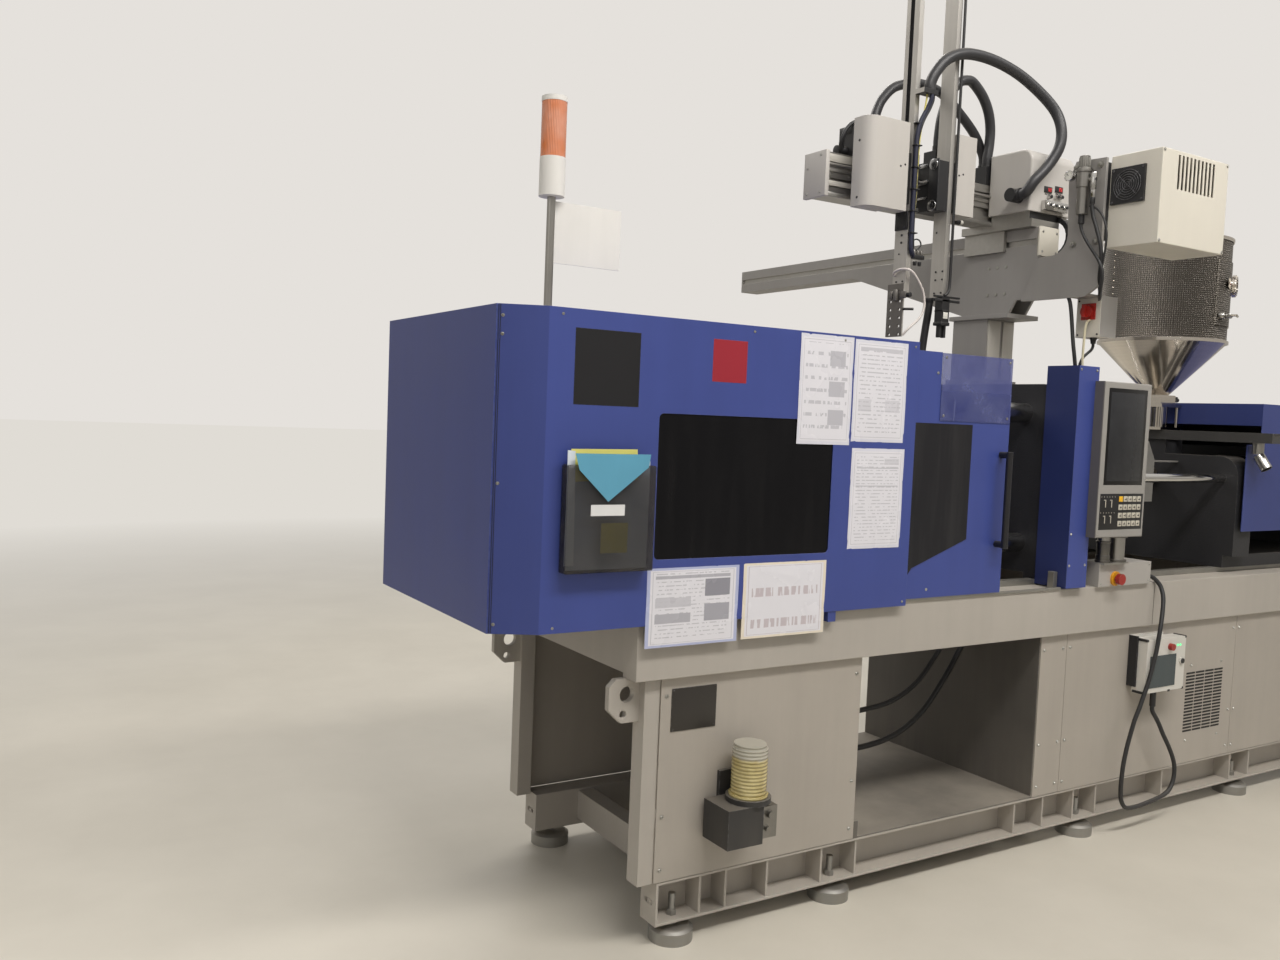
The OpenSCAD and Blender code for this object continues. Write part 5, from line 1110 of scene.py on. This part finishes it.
cover_white = coat("robot_white", srgb(188, 184, 179), roughness=0.42, dust=0.15, grain=900.0, shift=0.03)


def region(c, lows, highs):
    return all(a <= v <= b for v, a, b in zip(c, lows, highs))


def outer_edge(m, lows, highs):
    return sum(min(abs(v - a), abs(v - b)) < 1.0 for v, a, b in zip(m, lows, highs)) >= 2


copied("robot_frame", "robot_stand", [robot_grey, box_cream, switch_red, alu, valve_steel, black_and_groove_shade],
       lambda c, n: 2 if region(c, (-93.5, -457, 1864), (-90.2, -399, 1922)) else
       1 if region(c, (-91, -480, 1800), (1, -370, 1939.5)) else
       5 if region(c, (-230, -480, 2178), (-170, -420, 2209)) else
       4 if region(c, (-230, -480, 2209), (-168, -420, 2406)) else
       3 if c.z > 2100.5 and c.y > -252 and c.x > -156 else 0, "machine", 1.2)
copied("robot_controller", "robot_control_box", [box_cream, black_and_groove_shade, alu],
       lambda c, n: 1 if c.x < -139.2 else 2 if c.y > -514.8 else 0, "machine", 1.2,
       wide=lambda m, d: outer_edge(m, (-139, -700, 2095), (232, -515, 2400)), wide_by=3.5)
dress("main_switch", switch_red, 2.0)
copied("robot_carriage", "kick_beam", [alu, cover_white, black_and_groove_shade],
       lambda c, n: 1 if region(c, (-201, -241, 2254), (31, -51.5, 2476)) or c.x < -985.2 else
       2 if region(c, (-260, -260, 2280), (-200.2, -170, 2340)) or c.z > 2370.5 or
       region(c, (-186, -231, 2228.5), (-34, -59, 2254.8)) else 0, "robot_carriage", 1.0,
       wide=lambda m, d: abs(m.x + 200) < 0.5 and m.z > 2340 and math.hypot(m.y + 192, m.z - 2308) > 30,
       wide_by=9.0)
copied("main_arm_carriage", "main_slider", [cover_white, black_and_groove_shade],
       lambda c, n: 0 if c.y < -109 and c.z < 2476 and c.z > 2184 and (c.x < -809.8 or c.y < -150.2) else 1,
       "main_arm_carriage", 1.5,
       wide=lambda m, d: abs(d.z) > 0.9 and m.x < -924 and m.y < -184, wide_by=42.0)
copied("sub_arm_carriage", "sub_slider", [cover_white, black_and_groove_shade],
       lambda c, n: 0 if c.x > -480.2 and c.y < -54 and 2214 < c.z < 2491 else 1,
       "sub_arm_carriage", 2.5)
# The groove in the arm's side takes the black finish, as painted shade in the groove
copied("main_arm", "main_arm_profile", [arm_alu, black_and_groove_shade, plate_steel],
       lambda c, n: 1 if 2584 < c.z < 2602 and (c.y < -150.2 or c.x > -675.8) else
       1 if -695.5 < c.x < -687 and c.z > 2159 else 2 if c.x < -696.2 else 0,
       "main_arm", 0.8)
copied("sub_arm", "sub_arm_profile", [arm_alu, black_and_groove_shade],
       lambda c, n: 1 if c.z < 1924.8 else 0, "sub_arm", 0.8)


# A ring of round wire
def hoop(form, centre, axis, major, minor, around, sides=8):
    turn = Vector(axis).to_track_quat("Z", "Y").to_matrix()
    rows = []
    for i in range(around):
        out = Vector((math.cos(math.tau * i / around), math.sin(math.tau * i / around), 0.0))
        row = []
        for k in range(sides):
            b = math.tau * k / sides
            local = out * (major + minor * math.cos(b)) + Vector((0, 0, minor * math.sin(b)))
            row.append(form.verts.new((Vector(centre) + turn @ local) * MM))
        rows.append(row)
    for i in range(around):
        near, far = rows[i], rows[(i + 1) % around]
        for k in range(sides):
            form.faces.new((near[k], far[k], far[(k + 1) % sides], near[(k + 1) % sides]))


# Control box: fan guard of wire rings, corner screws, and the bolts of the stand's plates
fan_y, fan_z = -584.5, 2295.5
form = bmesh.new()
for major in (9, 17, 25, 33, 41, 49):
    hoop(form, (-149, fan_y, fan_z), (1, 0, 0), major, 1.3, 44, 6)
for a in (45, 135):
    reach = Vector((0, math.cos(math.radians(a)), math.sin(math.radians(a)))) * 52
    middle = Vector((-148.6, fan_y, fan_z))
    bar(form, middle - reach, middle + reach, 1.3, sides=8)
for y in (-638, -531):
    for z in (2243, 2348):
        bar(form, (-149.4, y, z), (-147, y, z), 3.4, 3.8, sides=14)
guard_grey = coat("guard_grey", srgb(66, 66, 68), roughness=0.4, dust=0.2, wear=0.2)
finish_piece("fan_guard", form, guard_grey, "machine")
form = bmesh.new()
for x in (-131, 224):
    for z in (2103, 2392):
        button_screw(form, (x, -700, z), front, 4.2)
for y, z in ((-406, 2118), (-493, 2118), (-496, 2374), (-402, 2379)):
    bar(form, (-170.5, y, z), (-167, y, z), 11, sides=24)
    bar(form, (-176.5, y, z), (-170.5, y, z), 8.2, sides=6, soft=0.6)
for y in (-36, -75, -115):
    for z in (1972, 2071):
        bar(form, (-157.2, y, z), (-155, y, z), 5.2, 5.6, sides=18)
finish_piece("stand_bolts", form, screw_zinc, "machine")

# Bright edge strips on the pedestal's front face
form = bmesh.new()
for x in ((-151, -84), (-70, -10)):
    slab(form, x, (-47.5, -43), (1660, 1880), 1.2)
strip_pale = coat("strip_pale", srgb(196, 192, 184), roughness=0.4, dust=0.15, wear=0.2, metallic=0.2)
finish_piece("column_strips", form, strip_pale, "machine")

# Air regulator: ribbed knob, gauge with a white dial, push-in tee, bowl rings and three black hoses
knob_x, knob_y, tee_y = -192, -450, -489
gauge_y, gauge_z = -406, 2344
form = bmesh.new()
for k in range(18):
    a = math.tau * k / 18
    spot = Vector((knob_x + 17.2 * math.cos(a), knob_y + 17.2 * math.sin(a), 0))
    bar(form, spot + Vector((0, 0, 2368)), spot + Vector((0, 0, 2399)), 1.9, sides=8, soft=0.5)
for z, r in ((2403, 15.5), (2363, 20)):
    bar(form, (knob_x, knob_y, z - 3), (knob_x, knob_y, z + 3), r, sides=32, soft=1.5)
knob_grey = coat("knob_grey", srgb(128, 126, 120), roughness=0.45, dust=0.2)
finish_piece("regulator_knob", form, knob_grey, "machine")
form = bmesh.new()
bar(form, (-214, gauge_y, gauge_z), (-196, gauge_y, gauge_z), 17.5, sides=36, soft=1.2)
hoop(form, (-214, gauge_y, gauge_z), (1, 0, 0), 16.4, 1.6, 36)
bar(form, (-202, -428, 2344), (-202, -412, 2344), 6.5, sides=16)
bar(form, (-192, -474, 2323), (-192, -500, 2323), 7.5, soft=0.8)
bar(form, (knob_x, tee_y, 2345), (knob_x, tee_y, 2288), 10.5, sides=24, soft=1.5)
bar(form, (knob_x, tee_y, 2288), (knob_x, tee_y, 2262), 8.0, 7.0, sides=6, soft=0.8)
for z in (2302, 2312):
    hoop(form, (knob_x, knob_y, z), (0, 0, 1), 20.5, 2.4, 40)
finish_piece("regulator_fittings", form, chrome, "machine")
form = bmesh.new()
bar(form, (-215.4, gauge_y, gauge_z), (-214.4, gauge_y, gauge_z), 14.8, sides=36)
dial_white = coat("dial_white", srgb(220, 218, 210), roughness=0.3, dust=0.05, wear=0.0, grain=1400.0)
finish_piece("gauge_dial", form, dial_white, "machine")
form = bmesh.new()
for a in range(-120, 121, 30):
    out = Vector((0, math.sin(math.radians(a)), math.cos(math.radians(a))))
    spot = Vector((-215.6, gauge_y, gauge_z))
    bar(form, spot + out * 11, spot + out * 13.6, 0.6, sides=6)
bar(form, (-216, gauge_y, gauge_z), (-216, -399, 2352), 0.9, sides=6)
bar(form, (knob_x, tee_y, 2262), (knob_x, tee_y, 2240), 8.5, soft=0.8)
finish_piece("gauge_marks", form, black_and_groove_shade, "machine")
cord("drain_hose", [
    (-192, -450, 2182), (-192, -451, 2168), (-191, -457, 2150), (-190, -474, 2120), (-189, -500, 2084),
    (-188, -524, 2050), (-186, -538, 2018), (-184, -540, 1988), (-178, -533, 1962), (-164, -520, 1944),
    (-140, -505, 1936), (-118, -488, 1934), (-98, -474, 1934)], 5.5, rubber, "machine")
cord("air_hose", [
    (-192, -489, 2242), (-192, -490, 2226), (-191, -496, 2196), (-189, -512, 2150), (-187, -526, 2104),
    (-184, -531, 2062), (-178, -526, 2028), (-166, -516, 1996), (-148, -506, 1970), (-130, -496, 1954),
    (-110, -482, 1947), (-92, -470, 1945)], 6.5, rubber, "machine")
cord("valve_hose", [
    (-186, -474, 2236), (-184, -488, 2232), (-183, -510, 2216), (-183, -532, 2184), (-184, -545, 2140),
    (-184, -545, 2096), (-182, -538, 2052), (-176, -530, 2018), (-164, -522, 1990), (-146, -512, 1966),
    (-122, -494, 1952), (-98, -474, 1944)], 3.5, rubber, "machine")

# Switch box: gland with its cable, a second cable from behind the side plate and a cream flat lead
form = bmesh.new()
bar(form, (-58, -430, 1805), (-58, -430, 1799), 13, sides=6, soft=0.8)
bar(form, (-58, -430, 1799), (-58, -430, 1784), 10.5, 8, sides=24, soft=0.8)
for y, z in ((-466, 1814), (-389, 1814), (-466, 1931), (-389, 1931)):
    bar(form, (-92, y, z), (-90, y, z), 3.4, sides=14)
finish_piece("switch_gland", form, black_and_groove_shade, "machine")
cord("switch_cable", [
    (-58, -430, 1786), (-58, -430, 1774), (-66, -430, 1762), (-84, -430, 1750), (-102, -428, 1736),
    (-112, -424, 1716), (-114, -420, 1690), (-112, -418, 1660)], 5, rubber, "machine")
cord("signal_cable", [
    (-150, -378, 1958), (-154, -388, 1944), (-156, -400, 1920), (-156, -408, 1880), (-157, -416, 1830),
    (-158, -424, 1780), (-156, -430, 1740), (-148, -430, 1706), (-136, -426, 1676), (-130, -424, 1650)],
    6.5, rubber, "machine")
tube_cream = coat("tube_cream", srgb(214, 206, 178), roughness=0.45, wear=0.0, grain=900.0)
cord("cream_lead", [
    (-93, -436, 1863), (-106, -438, 1858), (-118, -440, 1842), (-121, -440, 1806), (-120, -438, 1770),
    (-118, -436, 1734), (-114, -434, 1700), (-112, -430, 1664)], 4, tube_cream, "machine")

# Traverse beam: cream end cap with screws, and the black cable chain that turns round beside its end
block_piece("traverse_cap", box_cream, "machine",
            (-158, -52), (-258, -250), (2097, 2203), 2.5)
form = bmesh.new()
for x, z in ((-140, 2184), (-66, 2184), (-140, 2114), (-66, 2114)):
    button_screw(form, (x, -258, z), front, 3.6)
finish_piece("traverse_screws", form, screw_zinc, "machine")


def chain_link(form, y, z, turn):
    before = set(form.verts)
    slab(form, (-32, 4), (-11.5, 11.5), (-9, 9), 2.0)
    slab(form, (-30, 2), (-13, 13), (-6, 6), 1.0)
    grown = [v for v in form.verts if v not in before]
    where = Matrix.Translation((0, y * MM, z * MM)) @ Matrix.Rotation(turn, 4, "X")
    bmesh.ops.transform(form, matrix=where, verts=grown)


form = bmesh.new()
for k in range(11):
    a = math.radians(90 - 18 * k)
    chain_link(form, -210 - 67 * math.cos(a), 2178 + 67 * math.sin(a), math.pi / 2 - a)
for k in range(5):
    chain_link(form, -188 + 25 * k, 2245, 0.0)
for k in range(12):
    chain_link(form, -188 + 25 * k, 2111, 0.0)
finish_piece("cable_chain", form, black_and_groove_shade, "machine")

# Hood of the carriage: two lit displays over a row of push-in fittings
form = bmesh.new()
glow_red = bmesh.new()
nickel = bmesh.new()
for x, z in ((-107, 2338), (-48, 2346)):
    slab(form, (x - 21, x + 21), (-243, -239), (z - 11, z + 11), 1.2)
    slab(glow_red, (x - 1, x + 16), (-243.6, -242.6), (z - 7, z + 7), 0.3)
    for k in (-14, -6, 2, 10, 18):
        slab(form, (x + k - 1.5, x + k + 1.5), (-242, -239), (z - 19, z - 14))
for x, z in ((-104, 2312), (-66, 2316), (-44, 2318)):
    bar(nickel, (x, -256, z), (x, -240, z), 7.5, 8.5, soft=1.0)
    bar(form, (x, -258, z), (x, -255, z), 6.2, soft=0.8)
slab(nickel, (-140, -18), (-262, -240), (2262, 2296), 2.0)
for x in (-122, -92, -62, -34):
    bar(nickel, (x, -270, 2279), (x, -262, 2279), 8.5, soft=1.0)
    bar(form, (x, -272, 2279), (x, -269, 2279), 5.5, sides=16, soft=0.6)
finish_piece("hood_panels", form, black_and_groove_shade, "robot_carriage")
finish_piece("hood_fittings", nickel, chrome, "robot_carriage")
lit_red, tree, shader = new_finish("lit_red")
digits = noise(tree, on_object(tree), 220.0)
shown = graded(tree, digits, 0.48, 0.52, 0.0, 1.0)
drive(tree, shader, Emission_Color=blended(tree, shown, srgb(120, 16, 20), srgb(236, 60, 60)),
      Emission_Strength=0.8, Base_Color=srgb(90, 10, 14))
finish_piece("hood_displays", glow_red, lit_red, "robot_carriage")

# Kick beam: end cap, guide strips and rod on the front face, and the connector's cables on the motor
block_piece("beam_cap", cover_white, "robot_carriage",
            (-1003, -986), (-70, 40), (2220, 2370), 2.0)
form = bmesh.new()
for y, z in ((22, 2320), (-44, 2234), (22, 2234), (-44, 2356)):
    button_screw(form, (-1003, y, z), (-1, 0, 0), 3.6)
for x in (-960, -882, -290, -60, 60):
    button_screw(form, (x, -50, 2299), front, 3.4)
finish_piece("beam_screws", form, screw_zinc, "robot_carriage")
form = bmesh.new()
slab(form, (-985, 130), (-62, -50), (2222, 2236), 1.0)
bar(form, (-984, -60, 2327), (130, -60, 2327), 5.5)
slab(form, (-985, 130), (-55, -50), (2306, 2320), 0.8)
finish_piece("beam_rails", form, alu, "robot_carriage")
form = bmesh.new()
for y, z in ((-54, (2338, 2364)), (-53, (2260, 2277))):
    slab(form, (-985, -320), (y, -49.8), z, 1.0)
finish_piece("beam_strips", form, strip_pale, "robot_carriage")
form = bmesh.new()
bar(form, (-903, 0, 2396), (-860, 0, 2396), 16, sides=32, soft=2.0)
slab(form, (-816, -784), (-40, 40), (2384, 2462), 2.0)
slab(form, (-862, -800), (-30, 30), (2452, 2478), 4.0)
finish_piece("motor_end", form, black_and_groove_shade, "main_arm_carriage")
cord("motor_lead", [
    (-800, -20, 2470), (-800, -24, 2482), (-812, -30, 2494), (-838, -38, 2496), (-868, -40, 2484),
    (-892, -38, 2462), (-904, -34, 2436), (-906, -26, 2412), (-896, -18, 2396)], 6, rubber,
    "main_arm_carriage")
cord("brake_lead", [
    (-820, 10, 2476), (-820, 8, 2488), (-832, -4, 2496), (-856, -20, 2490), (-878, -30, 2474),
    (-890, -30, 2450), (-892, -24, 2424), (-886, -16, 2400)], 4.5, rubber, "main_arm_carriage")

# Sub arm's slider: two steel guide rollers with their plate, bars on the block and the shock absorber
form = bmesh.new()
slab(form, (-569, -564.8), (-152, -108), (2216, 2395), 6.0, 3)
for z in (2376, 2235):
    bar(form, (-575, -130, z), (-573, -130, z), 8, sides=24, soft=0.5)
bar(form, (-381, -66, 2213), (-360, -66, 2213), 9, sides=24, soft=1.0)
finish_piece("roller_plate", form, black_and_groove_shade, "sub_arm_carriage")
form = bmesh.new()
for z in (2376, 2235):
    bar(form, (-573.5, -130, z), (-566, -130, z), 19, sides=36, soft=1.5, segments=3)
for y, z in (((-100, -62), (2372, 2384)), ((-104, -58), (2312, 2328)), ((-104, -58), (2262, 2270))):
    slab(form, (-568.5, -564.8), y, z, 1.0)
finish_piece("guide_rollers", form, ground, "sub_arm_carriage")
form = bmesh.new()
bar(form, (-360, -66, 2213), (-346, -66, 2213), 8, sides=24, soft=1.5)
finish_piece("absorber_tip", form, dial_white, "sub_arm_carriage")

# Screws of the white boxes
form = bmesh.new()
for y, z in ((-140, 2397), (-140, 2213)):
    button_screw(form, (-925, y, z), (-1, 0, 0), 3.2)
for x, z in ((-780, 2329), (-760, 2336)):
    button_screw(form, (x, -185, z), front, 2.6)
finish_piece("main_box_screws", form, black_and_groove_shade, "main_arm_carriage")
form = bmesh.new()
for x, z in ((-466, 2350), (-446, 2356)):
    button_screw(form, (x, -150, z), front, 2.6)
finish_piece("sub_box_screws", form, black_and_groove_shade, "sub_arm_carriage")

# Main arm: stop block, screws, wrist hinge with its small cylinder, and the valve rail beside the arm
form = bmesh.new()
slab(form, (-702, -696), (-150, -92), (2136, 2198), 1.5)
for y, z in ((-138, 2188), (-104, 2188), (-138, 2146), (-104, 2146)):
    bar(form, (-704, y, z), (-702, y, z), 3.6, sides=14)
for y, z, r in ((-122, 2119, 4.2), (-122, 2094, 4.2), (-114, 2056, 3), (-108, 1962, 3.4),
                (-137, 1962, 3.4)):
    bar(form, (-697.6, y, z), (-696, y, z), r, r * 0.9, sides=14)
slab(form, (-676, -602), (-142, -126), (2044, 2058), 2.0)
for x in (-640, -618):
    bar(form, (x, -134, 2036), (x, -134, 2022), 7, 6, sides=18, soft=1.0)
bar(form, (-690, -172, 1916), (-690, -78, 1916), 8.5, sides=24, soft=1.2)
bar(form, (-700, -150, 1868), (-676, -176, 1868), 4.5, sides=16, soft=0.8)
finish_piece("arm_fittings", form, black_and_groove_shade, "main_arm")
form = bmesh.new()
for x in (-664, -646, -629, -612):
    bar(form, (x, -134, 2058), (x, -134, 2074), 6.5, 5.5, sides=18, soft=0.8)
bar(form, (-708, -122, 1934), (-708, -122, 1896), 9, sides=24, soft=1.0)
bar(form, (-706, -100, 1930), (-706, -100, 1904), 7, sides=24, soft=1.0)
slab(form, (-703, -696), (-160, -80), (1904, 1928), 2.0)
finish_piece("arm_hardware", form, plate_steel, "main_arm")
lead_blue = coat("lead_blue", srgb(34, 37, 58), roughness=0.5, wear=0.0, grain=900.0, bump=0.0001)
tube_yellow = coat("tube_yellow", srgb(216, 204, 118), roughness=0.4, dust=0.05, wear=0.0, grain=900.0)
tube_white = coat("tube_white", srgb(214, 206, 200), roughness=0.35, dust=0.05, wear=0.0, grain=900.0)
cord("arm_lead", [
    (-652, -182, 2586), (-652, -181, 2570), (-657, -175, 2548), (-668, -168, 2520), (-680, -163, 2490),
    (-687, -160, 2450), (-689, -159, 2380), (-689, -159, 2290), (-689, -159, 2200), (-689, -159, 2120),
    (-688, -159, 2080), (-682, -158, 2062), (-672, -152, 2054), (-664, -144, 2050)], 7.5, lead_blue,
    "main_arm", "medium", "taut")
cord("arm_cable", [
    (-636, -174, 2586), (-637, -174, 2568), (-648, -172, 2540), (-666, -168, 2505), (-677, -164, 2470),
    (-680, -158, 2430), (-680, -157, 2360), (-680, -157, 2260), (-680, -157, 2160), (-679, -157, 2110),
    (-672, -152, 2092), (-664, -144, 2078), (-664, -136, 2070)], 5, rubber, "main_arm", "medium", "taut")
cord("yellow_tube", [
    (-664, -172, 2586), (-665, -172, 2570), (-668, -168, 2530), (-672, -163, 2480), (-673, -158, 2430),
    (-672, -154, 2350), (-673, -154, 2260), (-674, -154, 2180), (-674, -153, 2120), (-668, -148, 2096),
    (-658, -140, 2084), (-654, -134, 2072)], 3, tube_yellow, "main_arm", "limp", "taut")
cord("valve_tube", [
    (-668, -134, 2072), (-668, -134, 2088), (-660, -138, 2102), (-645, -140, 2110), (-628, -140, 2106),
    (-620, -138, 2092), (-632, -135, 2078), (-649, -134, 2072)], 2.5, rubber, "main_arm", "limp", "loose")
cord("hand_tube", [
    (-697, -100, 1985), (-703, -100, 1988), (-707, -110, 1996), (-708, -130, 2001), (-706, -150, 2002),
    (-700, -164, 2000), (-690, -170, 1995), (-674, -171, 1984), (-650, -171, 1959), (-630, -171, 1930),
    (-622, -171, 1900), (-622, -171, 1876), (-631, -170, 1852), (-648, -168, 1832), (-668, -164, 1814),
    (-682, -160, 1800), (-690, -154, 1788), (-694, -148, 1780)], 4, tube_white, "main_arm", "limp",
    "loose")
form = bmesh.new()
for z in range(2122, 2500, 73):
    slab(form, (-698, -669), (-169, -150), (z, z + 4), 1.0)
finish_piece("lead_ties", form, black_and_groove_shade, "main_arm")

# Sub arm: screws, edge hose, end bar and the thick hose that hangs down into the mould space
form = bmesh.new()
for y, z in ((-108, 2151), (-114, 2014), (-145, 2014), (-114, 1986), (-145, 1986), (-112, 1940),
             (-142, 1940)):
    bar(form, (-516.6, y, z), (-515, y, z), 3.6, 3.2, sides=14)
for z in ((1908, 1917), (1922, 1929)):
    slab(form, (-560, -436), (-160, -150), z, 1.5)
slab(form, (-523, -487), (-162, -124), (1874, 1880), 1.5)
slab(form, (-527, -483), (-162, -124), (1826, 1838), 2.5)
bar(form, (-516, -92, 1925), (-516, -92, 1908), 16, 14, sides=28, soft=1.5)
finish_piece("sub_arm_fittings", form, black_and_groove_shade, "sub_arm")
block_piece("grip_label", dial_white, "sub_arm",
            (-516, -494), (-161.2, -160), (1850, 1872), 0.4)
cord("edge_hose", [
    (-489, -151, 2960), (-489, -156, 2940), (-489, -157, 2700), (-489, -157, 2450), (-489, -157, 2250),
    (-489, -157, 2100), (-489, -157, 1990), (-491, -158, 1960), (-497, -159, 1943), (-506, -159, 1934),
    (-514, -158, 1930)], 5, rubber, "sub_arm", "medium", "taut")
form = bmesh.new()
bar(form, (-533, -82, 1652), (-533, -82, 1622), 15.5, 13, sides=28, soft=1.5)
bar(form, (-533, -82, 1622), (-533, -82, 1606), 8, soft=1.0)
grip_end = finish_piece("grip_hose_end", form, black_and_groove_shade, "sub_arm")
cord("grip_hose", [
    (-516, -92, 1918), (-517, -92, 1890), (-519, -90, 1860), (-521, -87, 1830), (-524, -85, 1795),
    (-527, -83, 1755), (-530, -82, 1715), (-532, -82, 1680), (-533, -82, 1650)], 13, rubber, "sub_arm",
    far_end="fitting", with_pieces=[grip_end])


# Hand pendant
# A white moulded handset with a grey touch screen, hung on a black bracket beside its lead's connector.
pendant_white = coat("pendant_white", srgb(208, 205, 198), roughness=0.4, wear=0.15, grain=1000.0)
screen_grey = smoked("screen_grey", srgb(72, 80, 82), 0.12)
copied("teach_pendant", "pendant_body", [pendant_white, screen_grey, stop_red, black_and_groove_shade],
       lambda c, n: 3 if c.y > -434.8 or c.x < 289.8 or c.z < 519.8 else
       1 if region(c, (311, -493, 536), (473, -490.1, 660)) else
       2 if region(c, (412, -510, 670), (446, -490.2, 702)) else 0, "machine", 1.5)

# Dial, mark and hung corners of the handset, and its two lit lamps
form = bmesh.new()
bar(form, (506, -493.5, 628), (506, -490, 628), 13, sides=36, soft=1.0)
bar(form, (506, -500, 628), (506, -493, 628), 9.5, 10.5, sides=28, soft=1.2)
slab(form, (432, 446), (-491.4, -490), (516, 524), 0.5)
for x in (292, 528):
    for z in (522, 718):
        slab(form, (x - 5, x + 5), (-491.5, -440), (z - 5, z + 5), 3.0, 3)
finish_piece("pendant_dial", form, black_and_groove_shade, "machine")
lamp_green, tree, shader = new_finish("pendant_lamp")
spread = noise(tree, on_object(tree), 300.0)
drive(tree, shader, Base_Color=blended(tree, spread, srgb(70, 220, 130), srgb(120, 250, 170)),
      Emission_Color=srgb(70, 235, 130), Emission_Strength=1.6)
form = bmesh.new()
for x in (478, 494):
    bar(form, (x, -492, 690), (x, -490, 690), 4.2, 3.4, soft=0.6)
finish_piece("pendant_lamps", form, lamp_green, "machine")

bpy.context.view_layer.update()
